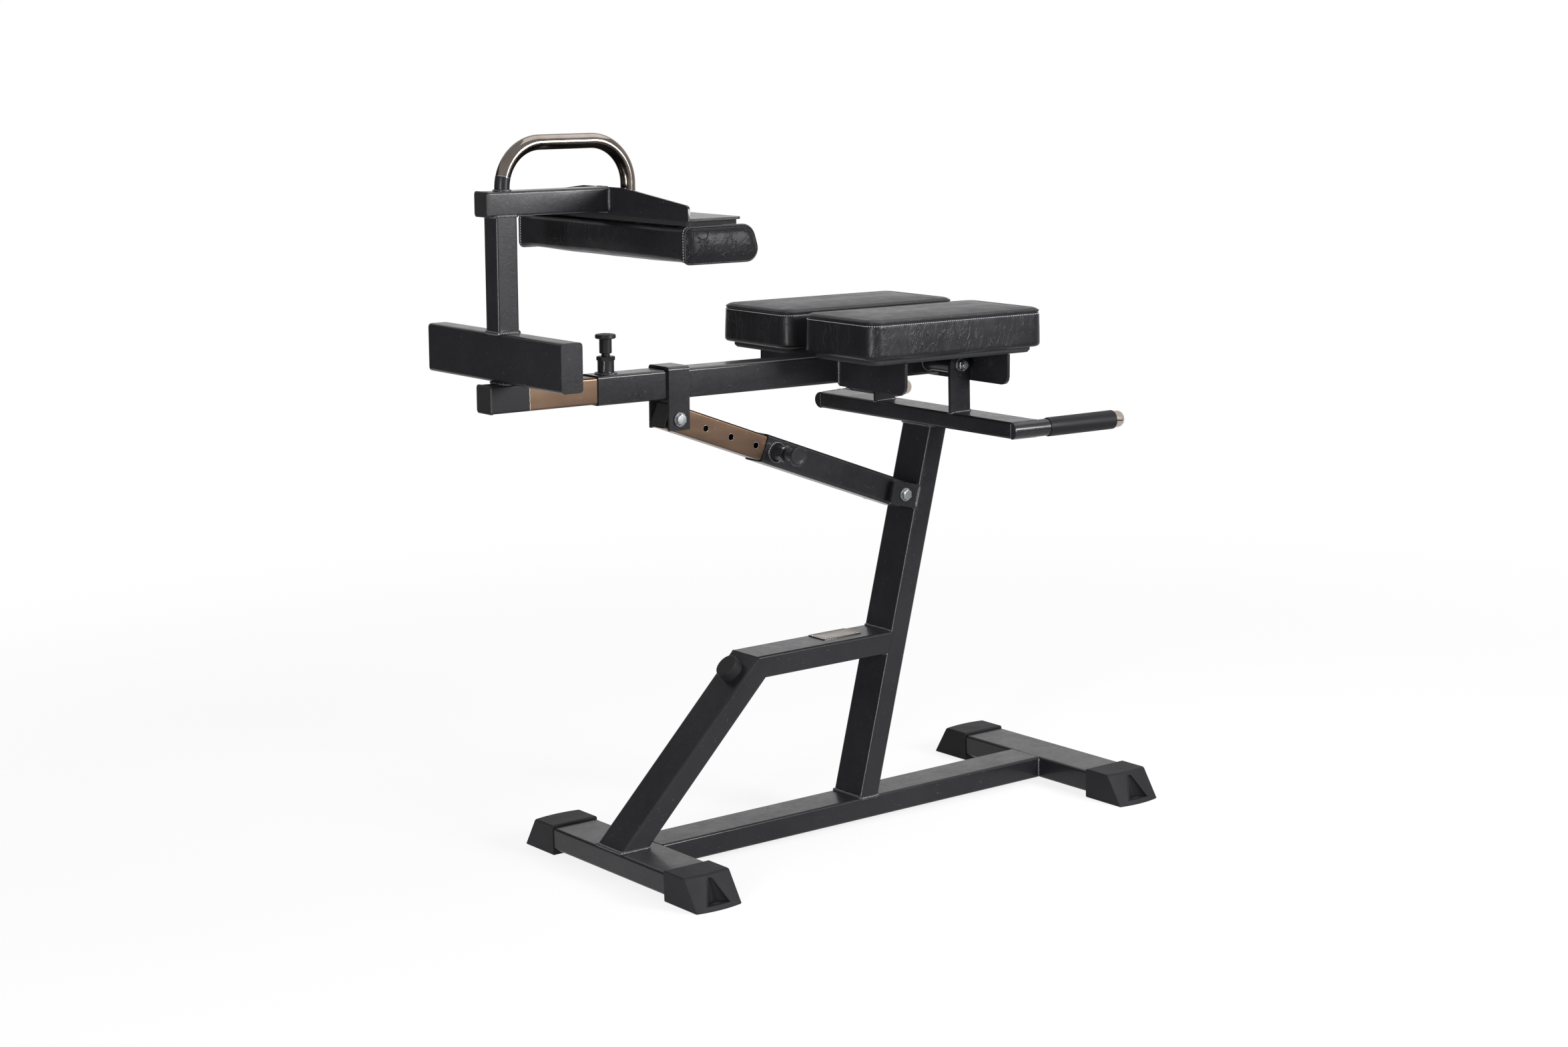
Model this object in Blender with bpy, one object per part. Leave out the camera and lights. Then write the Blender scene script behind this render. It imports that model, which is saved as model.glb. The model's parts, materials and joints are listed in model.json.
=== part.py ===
"""Hyperextension bench: a tube frame that carries a tilting beam with two hip pads,
a telescopic carriage with the foot plate and ankle pad, and a telescopic strut.
Metres, +Z up, +X from the ankle pad to the hip pads, the user's right at -Y."""
import math

import bmesh
import bpy
from mathutils import Vector

# Clearances
FIT = 0.0003
SLIDE_PLAY = 0.0003
BOLT_PLAY = 0.0003

# Base: two cross tubes with rubber feet, joined by a base tube
CROSS_WIDTH = 0.090
CROSS_HEIGHT = 0.040
CROSS_SPAN = 0.456
CROSS_SPACING = 0.948
GROUND_CLEARANCE = 0.010
FRAME_WIDTH = 0.080
FRAME_DEPTH = 0.040
FRAME_WALL = 0.0025
FRAME_CORNER = 0.005

# Rubber feet on the ends of the cross tubes
FOOT_SKIN = 0.0014
FOOT_TOP_SKIN = 0.0043
FOOT_OVERLAP = 0.0558
FOOT_TOP_BEYOND = 0.0075
FOOT_SOLE_BEYOND = 0.043
FOOT_BOW = 0.005
FOOT_CORNER = 0.0025
FOOT_SOLE_CHAMFER = 0.0015
FOOT_LIP_ROUND = 0.003
SCALLOP_FOOT = 0.008
SCALLOP_HEAD = 0.006
SCALLOP_RADIUS = 0.0235
SCALLOP_TIP = 0.003

# Brace: a diagonal tube from the front cross tube, then level to the column
DIAGONAL_FRONT = 0.004
DIAGONAL_ANGLE = math.radians(45.0)
BRACE_TOP = 0.3468
BUMPER_RADIUS = 0.022
BUMPER_HEIGHT = 0.020
BUMPER_ROUND = 0.003
BUMPER_SETBACK = 0.0396

# Column, leaning toward the head end
COLUMN_FRONT = 0.5203
COLUMN_LEAN = math.radians(14.8)
CROSSBAR_BOTTOM = 0.712

# Handles on a crossbar over the column
CROSSBAR_FRONT = 0.685
CROSSBAR_WIDTH = 0.060
CROSSBAR_HEIGHT = 0.030
HANDLE_RADIUS = 0.015
HANDLE_WALL = 0.002
HANDLE_SPREAD = 0.544
HANDLE_SPLAY = math.radians(6.5)
HANDLE_SEAT = 0.001
HANDLE_LENGTH = 0.216
GRIP_START = 0.075
GRIP_RADIUS = 0.0168
GRIP_ROUND = 0.0015
HANDLE_CAP_RIM = 0.0104
HANDLE_CAP_DOME = 0.0126
HANDLE_CAP_STEM = 0.020
HANDLE_CHAMFER = 0.001

# Hip pivot: two uprights on the crossbar, a bolt through a cross tube of the beam
UPRIGHT_WIDTH = 0.045
UPRIGHT_THICKNESS = 0.006
UPRIGHT_OUTER = 0.110
PIVOT_RISE = 0.084
PIVOT_TUBE_RADIUS = 0.016
PIVOT_TUBE_BORE = 0.0125
PIVOT_BUSH_DEPTH = 0.020
PIVOT_END_GAP = 0.0005
HIP_BOLT_RADIUS = 0.006
HIP_BOLT_FLATS = 0.018
HIP_HEAD_HEIGHT = 0.0075
HIP_NUT_HEIGHT = 0.012
BOLT_TAIL = 0.003
WASHER_RADIUS = 0.0115
WASHER_THICKNESS = 0.0025
HEAD_CHAMFER = 0.0008
NUT_HEXAGON_SHARE = 0.68
NUT_COLLAR_INSET = 0.0016

# Beam, sloping down to the head end by a small tilt
BEAM_TILT = math.radians(1.35)
BEAM_SIZE = 0.050
BEAM_WALL = 0.0022
BEAM_CORNER = 0.005
BEAM_FRONT = -0.7075
BEAM_REAR = 0.028
INNER_WALL = 0.002
INNER_CORNER = 0.004
INNER_FRONT = -0.908
INNER_REAR = -0.357
END_CAP_FLANGE = 0.005
END_CAP_LIP = 0.00075
END_CAP_PLUG = 0.020
END_CAP_ROUND = 0.0015

# Spring pins: one on the beam for the carriage, one on the strut for the tilt
PIN_RADIUS = 0.005
BEAM_PIN = -0.6765
BEAM_HOLE_PITCH = 0.030
BEAM_HOLES_IN = 4
BEAM_HOLES_OUT = 3
BARREL_RADIUS = 0.014
BARREL_HEIGHT = 0.022
BARREL_BORE = 0.010
BARREL_FLARE = 0.003
COLLAR_FLATS = 0.027
COLLAR_HEIGHT = 0.0077
GUIDE_RADIUS = 0.0072
GUIDE_HEIGHT = 0.0042
NECK_RADIUS = 0.0105
NECK_HEIGHT = 0.0236
KNOB_RADIUS = 0.0175
KNOB_HEIGHT = 0.0085
KNOB_DISH = 0.0015
KNOB_SOCKET = 0.014
KNOB_ROUND = 0.002
PIN_CHAMFER = 0.0008
SHOULDER_RADIUS = 0.0095
SHOULDER_START = 0.001
SHOULDER_HEIGHT = 0.002
SPRING_WIRE = 0.0012
SPRING_RADIUS = 0.0075
SPRING_TURNS = 5

# Strap round the beam that carries the strut's upper bolt
STRAP_CENTRE = -0.5495
STRAP_WIDTH = 0.042
STRAP_THICKNESS = 0.005
STRAP_BEND = 0.006
STRAP_PLAY = 0.0004
STRAP_DROP = 0.103
STRUT_DROP = 0.0595
PIVOT_BOLT_RADIUS = 0.005
PIVOT_BOLT_FLATS = 0.017
PIVOT_HEAD_HEIGHT = 0.0065
PIVOT_NUT_HEIGHT = 0.010
PIVOT_WASHER_RADIUS = 0.012

# Strut and its lugs on the column
STRUT_SIZE = 0.050
STRUT_INNER_LEAD = 0.019
STRUT_INNER_REACH = 0.320
SLEEVE_FRONT = 0.1946
SLEEVE_TAIL = 0.013
SLEEVE_TAIL_SLOPE = 0.22
STRUT_PIN = 0.221
STRUT_HOLE_STEPS = (0.046, 0.056, 0.056)
SLOT_RADIUS = 0.0068
SLOT_DOWN = (-0.0043, -0.0128)
SLOT_UP = (0.0040, 0.0128)
LUG_ALONG = 0.554
LUG_OUT = 0.0287
LUG_REACH = 0.058
LUG_WIDTH = 0.043
LUG_THICKNESS = 0.006
LUG_CORNER = 0.004
LUG_BOSS_RADIUS = 0.012
LUG_BOSS_GAP = 0.0004

# Pad brackets, boards and cushions on the beam
BRACKET_THICKNESS = 0.006
BRACKET_DROP = 0.055
BRACKET_CORNER = 0.015
FRONT_BRACKET = -0.205
FRONT_BRACKET_REACH = 0.208
REAR_BRACKET_REACH = 0.205
PAD_FRONT = -0.287
PAD_REAR = 0.1033
PAD_INNER = 0.020
PAD_OUTER = 0.222
PAD_CORNER = 0.032
PAD_SEAM = 0.0600
PAD_CROWN = 0.0125
PAD_BULGE = 0.003
PAD_TUCK = 0.0015
PAD_UNDER_ROUND = 0.0085
PAD_SEAM_WIDTH = 0.003
PAD_CROWN_RUN = 0.060
BOARD_THICKNESS = 0.010
BOARD_INSET = 0.015
BOARD_CHAMFER = 0.004

# Foot plate, post and upper tube on the carriage
FOOT_PLATE_SETBACK = 0.014
FOOT_PLATE_HEIGHT = 0.080
FOOT_PLATE_DEPTH = 0.040
FOOT_PLATE_SPAN = 0.413
FOOT_PLATE_RISE = 0.0045
FOOT_PLATE_CORNER = 0.006
END_PLATE = 0.003
PACKER_WIDTH = 0.0405
PACKER_DEPTH = 0.028
PACKER_CORNER = 0.002
POST_SIZE = 0.040
POST_WALL = 0.002
POST_CORNER = 0.004
ARM_OVERHANG = 0.0116
ARM_LENGTH = 0.2285
ARM_BOTTOM = 0.2945
ARM_CAP_LIP = 0.0006

# Bent plate, board and cushion at the ankles
FLANGE_THICKNESS = 0.004
FLANGE_HALF_SPAN = 0.245
FLANGE_FLAT = 0.060
FLANGE_SHOULDER = 0.237
FLANGE_SHOULDER_DROP = 0.020
FLANGE_CORNER_DROP = 0.027
FLANGE_CORNER_CUT = 0.0025
FLANGE_DEPTH = 0.105
FLANGE_SHELF_CORNER = 0.008
FLANGE_DROP = 0.0053
ANKLE_BOARD_THICKNESS = 0.008
ANKLE_BOARD_LENGTH = 0.470
ANKLE_BOARD_DEPTH = 0.100
ANKLE_BOARD_SETBACK = 0.004
ANKLE_BOARD_CORNER = 0.006
ANKLE_PAD_LENGTH = 0.510
ANKLE_PAD_DEPTH = 0.143
ANKLE_PAD_HEIGHT = 0.059
ANKLE_PAD_LEAD = 0.0097
ANKLE_PAD_BELLY = 0.021
ANKLE_PAD_ROUND = 0.009
ANKLE_PAD_PIPING = 0.004
ANKLE_PAD_FULLNESS = 0.8

# Grab loop over the ankle frame
LOOP_TUBE_RADIUS = 0.0125
LOOP_WALL = 0.002
LOOP_SETBACK = 0.0356
LOOP_BEYOND = 0.0496
LOOP_TOP = 0.4104
LOOP_BEND = 0.072

# Facet counts
CORNER_STEPS = 3
ROUND_SIDES = 24
SMALL_SIDES = 16
LOOP_SIDES = 14
BEND_STEPS = 8
BOW_STEPS = 8
DOME_STEPS = 5
PAD_CORNER_STEPS = 5
PAD_SIDE_PARTS = 4
PAD_BACK_STEPS = 8
SPRING_SIDES = 5
SPRING_STEPS = 12

# Finishes as colour, roughness and metallic value
FINISHES = {
    "powder_coat": ((0.022, 0.022, 0.025), 0.48, 0.35),
    "plated_steel": ((0.46, 0.38, 0.32), 0.22, 0.95),
    "zinc": ((0.72, 0.72, 0.70), 0.30, 0.95),
    "chrome": ((0.82, 0.82, 0.84), 0.10, 1.0),
    "spring_steel": ((0.35, 0.35, 0.36), 0.35, 0.9),
    "rubber": ((0.018, 0.018, 0.019), 0.78, 0.0),
    "foam_grip": ((0.014, 0.014, 0.015), 0.88, 0.0),
    "black_plastic": ((0.016, 0.016, 0.017), 0.42, 0.0),
    "vinyl": ((0.020, 0.020, 0.022), 0.38, 0.0),
    "board": ((0.030, 0.028, 0.027), 0.80, 0.0),
}

# Sizes that follow from the ones above
BASE_TOP = GROUND_CLEARANCE + CROSS_HEIGHT
CROSS_END = CROSS_SPAN / 2
FOOT_INNER = CROSS_END - FOOT_OVERLAP
FOOT_TOP_REACH = CROSS_END + FOOT_TOP_BEYOND
FOOT_SOLE_REACH = CROSS_END + FOOT_SOLE_BEYOND
INNER_SIZE = BEAM_SIZE - 2 * BEAM_WALL - 2 * SLIDE_PLAY
STRUT_INNER_SIZE = STRUT_SIZE - 2 * BEAM_WALL - 2 * SLIDE_PLAY
HALF_BEAM = BEAM_SIZE / 2
HALF_INNER = INNER_SIZE / 2
HALF_STRUT = STRUT_SIZE / 2
PIVOT_X = CROSSBAR_FRONT + UPRIGHT_WIDTH / 2
CROSSBAR_TOP = CROSSBAR_BOTTOM + CROSSBAR_HEIGHT
PIVOT_HEIGHT = CROSSBAR_TOP + PIVOT_RISE
UPRIGHT_INNER = UPRIGHT_OUTER - UPRIGHT_THICKNESS
STRAP_INNER = HALF_BEAM + STRAP_PLAY
STRAP_OUTER = STRAP_INNER + STRAP_THICKNESS
LUG_OUTER = FRAME_WIDTH / 2
LUG_INNER = LUG_OUTER - LUG_THICKNESS
BOARD_BOTTOM = HALF_BEAM + FIT
PAD_BOTTOM = BOARD_BOTTOM + BOARD_THICKNESS + FIT
FOOT_PLATE_FRONT = INNER_FRONT + FOOT_PLATE_SETBACK
FOOT_PLATE_BOTTOM = HALF_INNER + FOOT_PLATE_RISE
FOOT_PLATE_TOP = FOOT_PLATE_BOTTOM + FOOT_PLATE_HEIGHT
ARM_FRONT = FOOT_PLATE_FRONT - ARM_OVERHANG
ARM_REAR = ARM_FRONT + ARM_LENGTH
ARM_TOP = ARM_BOTTOM + POST_SIZE
LOOP_FRONT = ARM_FRONT + LOOP_SETBACK
LOOP_REAR = ARM_REAR + LOOP_BEYOND
FLANGE_FRONT = ARM_REAR + FIT
FLANGE_BOTTOM = ARM_BOTTOM - FLANGE_DROP
BACK_FOOT = CROSS_SPACING + CROSS_WIDTH + FOOT_SKIN
CAP_FRONT = INNER_FRONT - END_CAP_FLANGE
CAP_HALF = HALF_INNER + END_CAP_LIP - END_CAP_ROUND
FRONT_TIP = PIVOT_X + CAP_FRONT * math.cos(BEAM_TILT) - CAP_HALF * math.sin(BEAM_TILT)
MIDDLE_X = (FRONT_TIP + BACK_FOOT) / 2

# Directions of the column: up along its axis, and out of its front face
COLUMN_UP = Vector((math.sin(COLUMN_LEAN), 0.0, math.cos(COLUMN_LEAN)))
COLUMN_OUT = Vector((-math.cos(COLUMN_LEAN), 0.0, math.sin(COLUMN_LEAN)))
COLUMN_FOOT = Vector((COLUMN_FRONT, 0.0, BASE_TOP))


def clear_scene():
    """Remove every object that a new scene starts with."""
    for item in list(bpy.data.objects):
        bpy.data.objects.remove(item, do_unlink=True)


def make_material(name, finish):
    """Return a Principled material with one of the named finishes."""
    colour, roughness, metallic = FINISHES[finish]
    material = bpy.data.materials.new(name)
    material.use_nodes = True
    shader = material.node_tree.nodes["Principled BSDF"]
    shader.inputs["Base Color"].default_value = (*colour, 1.0)
    shader.inputs["Roughness"].default_value = roughness
    shader.inputs["Metallic"].default_value = metallic
    material.diffuse_color = (*colour, 1.0)
    return material


def add_axis(name, parent, location=(0.0, 0.0, 0.0), rotation=(0.0, 0.0, 0.0)):
    """Add an empty that carries a body, with its origin on that body's joint axis."""
    axis = bpy.data.objects.new(name, None)
    axis.empty_display_size = 0.05
    bpy.context.scene.collection.objects.link(axis)
    axis.parent = parent
    axis.location = location
    axis.rotation_euler = rotation
    return axis


def add_piece(name, mesh, finish, parent, location=(0.0, 0.0, 0.0), rotation=(0.0, 0.0, 0.0)):
    """Add one sub-part with its own material."""
    piece = bpy.data.objects.new(name, mesh)
    bpy.context.scene.collection.objects.link(piece)
    piece.parent = parent
    piece.location = location
    piece.rotation_euler = rotation
    mesh.materials.append(make_material(name + "_" + finish, finish))
    return piece


def combine(piece, helper_mesh, operation, location=(0.0, 0.0, 0.0), rotation=(0.0, 0.0, 0.0)):
    """Cut a hidden helper out of a piece, or join it on, in the piece's own frame."""
    number = sum(1 for modifier in piece.modifiers if modifier.type == "BOOLEAN") + 1
    helper = bpy.data.objects.new(f"{piece.name}_helper_{number}", helper_mesh)
    bpy.context.scene.collection.objects.link(helper)
    helper.parent = piece
    helper.location = location
    helper.rotation_euler = rotation
    helper.display_type = "WIRE"
    helper.hide_render = True
    modifier = piece.modifiers.new(f"{operation.lower()}_{number}", "BOOLEAN")
    modifier.operation = operation
    modifier.solver = "EXACT"
    modifier.object = helper


def cut(piece, helper_mesh, location=(0.0, 0.0, 0.0), rotation=(0.0, 0.0, 0.0)):
    """Cut a helper shape out of a piece."""
    combine(piece, helper_mesh, "DIFFERENCE", location, rotation)


def mesh_from_rings(name, rings, hollow=False, smooth_angle=40.0):
    """Loft through rings of equal length: capped at both ends, or joined into a hollow wall."""
    builder = bmesh.new()
    rows = [[builder.verts.new(point) for point in ring] for ring in rings]
    count = len(rings[0])
    pairs = list(zip(rows, rows[1:]))
    if hollow:
        pairs.append((rows[-1], rows[0]))
    else:
        builder.faces.new(rows[0])
        builder.faces.new(rows[-1])
    for lower, upper in pairs:
        for index in range(count):
            after = (index + 1) % count
            builder.faces.new((lower[index], lower[after], upper[after], upper[index]))
    bmesh.ops.recalc_face_normals(builder, faces=builder.faces)
    mesh = bpy.data.meshes.new(name)
    builder.to_mesh(mesh)
    builder.free()
    mesh.shade_smooth()
    mesh.set_sharp_from_angle(angle=math.radians(smooth_angle))
    return mesh


def arc(centre, radius, start, end, steps):
    """Points of an arc in a plane, from one angle to another in degrees."""
    points = []
    for step in range(steps + 1):
        angle = math.radians(start + (end - start) * step / steps)
        points.append((centre[0] + radius * math.cos(angle), centre[1] + radius * math.sin(angle)))
    return points


def rounded_rectangle(width, height, radius, steps=CORNER_STEPS):
    """Outline of a rectangle with round corners, centred on the origin."""
    x = width / 2 - radius
    y = height / 2 - radius
    outline = []
    for corner, start in (((x, y), 0), ((-x, y), 90), ((-x, -y), 180), ((x, -y), 270)):
        outline += arc(corner, radius, start, start + 90, steps)
    return outline


def square_tube(name, width, height, corner, wall, start, end, start_slope=0.0, end_slope=0.0):
    """Rectangular tube along X, width across Y and height along Z, with mitred ends."""
    outer = rounded_rectangle(width, height, corner)
    inner = rounded_rectangle(width - 2 * wall, height - 2 * wall, corner - wall)
    rings = []
    for outline, place, slope in (
        (outer, start, start_slope),
        (outer, end, end_slope),
        (inner, end, end_slope),
        (inner, start, start_slope),
    ):
        rings.append([(place + slope * z, y, z) for y, z in outline])
    return mesh_from_rings(name, rings, hollow=True)


def square_bar(name, sections):
    """Solid bar along X through sections of place, width, height and corner radius."""
    rings = []
    for place, width, height, corner in sections:
        rings.append([(place, y, z) for y, z in rounded_rectangle(width, height, corner)])
    return mesh_from_rings(name, rings)


def plate(name, outline, start, end, axis):
    """Flat plate with an outline across one axis, from start to end along it."""
    rings = []
    for place in (start, end):
        if axis == "X":
            rings.append([(place, a, b) for a, b in outline])
        elif axis == "Y":
            rings.append([(a, place, b) for a, b in outline])
        else:
            rings.append([(a, b, place) for a, b in outline])
    return mesh_from_rings(name, rings)


def shape_ring(kind, size, height, sides):
    """Ring about Z: a circle of a radius, or a hexagon of a half width across its flats."""
    points = []
    for index in range(sides):
        angle = 2 * math.pi * index / sides
        radius = size
        if kind == "hexagon":
            turn = (angle + math.pi / 6) % (math.pi / 3) - math.pi / 6
            radius = size / math.cos(turn)
        points.append((radius * math.cos(angle), radius * math.sin(angle), height))
    return points


def turned(name, sections, sides=ROUND_SIDES, hollow=False):
    """Body about Z through sections of kind, size and height."""
    rings = [shape_ring(kind, size, height, sides) for kind, size, height in sections]
    return mesh_from_rings(name, rings, hollow)


def swept(name, points, sides_at, radius, sides, wall=0.0):
    """Round bar, or a tube where a wall is given, along a path with a side vector at each point."""
    rings = []
    layers = [radius] if wall == 0.0 else [radius, radius - wall]
    for layer, layer_radius in enumerate(layers):
        layer_rings = []
        for index, point in enumerate(points):
            before = points[max(index - 1, 0)]
            after = points[min(index + 1, len(points) - 1)]
            tangent = (after - before).normalized()
            side = sides_at(index).normalized()
            up = tangent.cross(side).normalized()
            side = up.cross(tangent)
            ring = []
            for step in range(sides):
                angle = 2 * math.pi * step / sides
                offset = side * math.cos(angle) + up * math.sin(angle)
                ring.append(point + offset * layer_radius)
            layer_rings.append(ring)
        rings += layer_rings if layer == 0 else layer_rings[::-1]
    return mesh_from_rings(name, rings, hollow=wall > 0.0)


# Rotations that carry a turned body's own Z axis onto another axis
TO_LEFT = (-math.pi / 2, 0.0, 0.0)
TO_RIGHT = (math.pi / 2, 0.0, 0.0)


def drill(piece, radius, depth, location, rotation=(0.0, 0.0, 0.0)):
    """Drill a round hole through a piece, centred on a point."""
    sections = [("circle", radius, -depth / 2), ("circle", radius, depth / 2)]
    cut(piece, turned(piece.name + "_drill", sections), location, rotation)


def build_base(bench):
    """Cross tubes and base tube, their tops flush."""
    centre_height = BASE_TOP - CROSS_HEIGHT / 2
    for name, front in (("front_cross_tube", 0.0), ("rear_cross_tube", CROSS_SPACING)):
        mesh = square_tube(
            name, CROSS_WIDTH, CROSS_HEIGHT, FRAME_CORNER, FRAME_WALL, -CROSS_END, CROSS_END
        )
        centre = (front + CROSS_WIDTH / 2, 0.0, centre_height)
        add_piece(name, mesh, "powder_coat", bench, centre, (0.0, 0.0, math.pi / 2))
    start = CROSS_WIDTH + FIT
    end = CROSS_SPACING - FIT
    mesh = square_tube("base_tube", FRAME_WIDTH, FRAME_DEPTH, FRAME_CORNER, FRAME_WALL, start, end)
    centre = (0.0, 0.0, BASE_TOP - FRAME_DEPTH / 2)
    add_piece("base_tube", mesh, "powder_coat", bench, centre)


def foot_face(height):
    """How far out the sloping face of a rubber foot lies at a height."""
    top = BASE_TOP + FOOT_TOP_SKIN
    return FOOT_SOLE_REACH + (FOOT_TOP_REACH - FOOT_SOLE_REACH) * height / top


def foot_outline(height, inset, side):
    """Plan outline of a rubber foot at a height, its outer edge bowed outward."""
    half = CROSS_WIDTH / 2 + FOOT_SKIN - inset
    inner = FOOT_INNER + inset
    outer = foot_face(height) - FOOT_BOW - inset
    corner = FOOT_CORNER
    edge = arc((half - corner, outer - corner), corner, 0, 90, CORNER_STEPS)
    reach = half - corner
    for step in range(1, BOW_STEPS):
        x = reach - 2 * reach * step / BOW_STEPS
        edge.append((x, outer + FOOT_BOW * (1 - (x / reach) ** 2)))
    edge += arc((corner - half, outer - corner), corner, 90, 180, CORNER_STEPS)
    edge += [(-half, inner), (half, inner)]
    return [(x, side * y, height) for x, y in edge]


def build_feet(bench):
    """Rubber feet with a pocket for the tube end and a scallop in the sloping face."""
    top = BASE_TOP + FOOT_TOP_SKIN
    levels = [(0.0, FOOT_SOLE_CHAMFER), (FOOT_SOLE_CHAMFER, 0.0)]
    levels += [(height, inset) for inset, height in arc(
        (FOOT_LIP_ROUND, top - FOOT_LIP_ROUND), FOOT_LIP_ROUND, 180, 90, CORNER_STEPS
    )]
    pocket = rounded_rectangle(
        CROSS_WIDTH + 2 * FIT, CROSS_HEIGHT + 2 * FIT, FRAME_CORNER + FIT
    )
    scallop_top = top - SCALLOP_HEAD
    scallop_levels = (
        (SCALLOP_FOOT, SCALLOP_RADIUS),
        (scallop_top - 0.004, SCALLOP_TIP * 2),
        (scallop_top - 0.001, SCALLOP_TIP * 1.4),
        (scallop_top, SCALLOP_TIP * 0.5),
    )
    for end, front in (("front", 0.0), ("rear", CROSS_SPACING)):
        for hand, side in (("right", -1), ("left", 1)):
            name = f"foot_cap_{end}_{hand}"
            rings = [foot_outline(height, inset, side) for height, inset in levels]
            centre = (front + CROSS_WIDTH / 2, 0.0, 0.0)
            foot = add_piece(name, mesh_from_rings(name, rings), "rubber", bench, centre)
            start = side * (FOOT_INNER - FOOT_CORNER)
            stop = side * (CROSS_END + FIT)
            pocket_mesh = plate(name + "_pocket", pocket, start, stop, "Y")
            cut(foot, pocket_mesh, (0.0, 0.0, BASE_TOP - CROSS_HEIGHT / 2))
            scallop = []
            for height, radius in scallop_levels:
                ring = shape_ring("circle", radius, height, ROUND_SIDES)
                reach = side * foot_face(height)
                scallop.append([(x, y + reach, z) for x, y, z in ring])
            cut(foot, mesh_from_rings(name + "_scallop", scallop))


def build_brace(bench):
    """Diagonal and level tubes mitred at the elbow, and the rubber stop below it."""
    bisector = DIAGONAL_ANGLE / 2
    elbow_run = (BRACE_TOP - BASE_TOP) / math.tan(DIAGONAL_ANGLE)
    elbow = Vector((DIAGONAL_FRONT + elbow_run, 0.0, BRACE_TOP))
    up = Vector((math.cos(DIAGONAL_ANGLE), 0.0, math.sin(DIAGONAL_ANGLE)))
    out = Vector((-math.sin(DIAGONAL_ANGLE), 0.0, math.cos(DIAGONAL_ANGLE)))
    length = (BRACE_TOP - BASE_TOP) / math.sin(DIAGONAL_ANGLE)
    half = FRAME_DEPTH / 2
    foot_slope = -1 / math.tan(DIAGONAL_ANGLE)
    mitre = math.tan(bisector)
    foot_gap = FIT / math.sin(DIAGONAL_ANGLE)
    axis_foot = -half * foot_slope + foot_gap
    mesh = square_tube(
        "brace_diagonal", FRAME_WIDTH, FRAME_DEPTH, FRAME_CORNER, FRAME_WALL,
        axis_foot, length - half * mitre - FIT, foot_slope, mitre,
    )
    origin = Vector((DIAGONAL_FRONT, 0.0, BASE_TOP)) - out * half
    add_piece("brace_diagonal", mesh, "powder_coat", bench, origin, (0.0, -DIAGONAL_ANGLE, 0.0))

    centre_height = BRACE_TOP - half
    lean = math.tan(COLUMN_LEAN)
    column_face = COLUMN_FRONT + lean * (centre_height - BASE_TOP) - FIT / math.cos(COLUMN_LEAN)
    mesh = square_tube(
        "brace_level", FRAME_WIDTH, FRAME_DEPTH, FRAME_CORNER, FRAME_WALL,
        elbow.x + half * mitre + FIT, column_face, -mitre, lean,
    )
    add_piece("brace_level", mesh, "powder_coat", bench, (0.0, 0.0, centre_height))

    sections = (
        ("circle", BUMPER_RADIUS, FIT),
        ("circle", BUMPER_RADIUS, BUMPER_HEIGHT - BUMPER_ROUND),
        ("circle", BUMPER_RADIUS - BUMPER_ROUND * 0.3, BUMPER_HEIGHT - BUMPER_ROUND * 0.3),
        ("circle", BUMPER_RADIUS - BUMPER_ROUND, BUMPER_HEIGHT),
    )
    seat = elbow - up * BUMPER_SETBACK
    turn = (0.0, -DIAGONAL_ANGLE, 0.0)
    add_piece("stop_bumper", turned("stop_bumper", sections), "rubber", bench, seat, turn)


def build_column(bench):
    """Leaning column, cut level at both ends."""
    half = FRAME_DEPTH / 2
    slope = -math.tan(COLUMN_LEAN)
    origin = COLUMN_FOOT - COLUMN_OUT * half
    foot = (BASE_TOP + FIT - origin.z) / COLUMN_UP.z
    head = (CROSSBAR_BOTTOM - FIT - origin.z) / COLUMN_UP.z
    mesh = square_tube(
        "column", FRAME_WIDTH, FRAME_DEPTH, FRAME_CORNER, FRAME_WALL, foot, head, slope, slope
    )
    turn = (0.0, COLUMN_LEAN - math.pi / 2, 0.0)
    add_piece("column", mesh, "powder_coat", bench, origin, turn)


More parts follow.
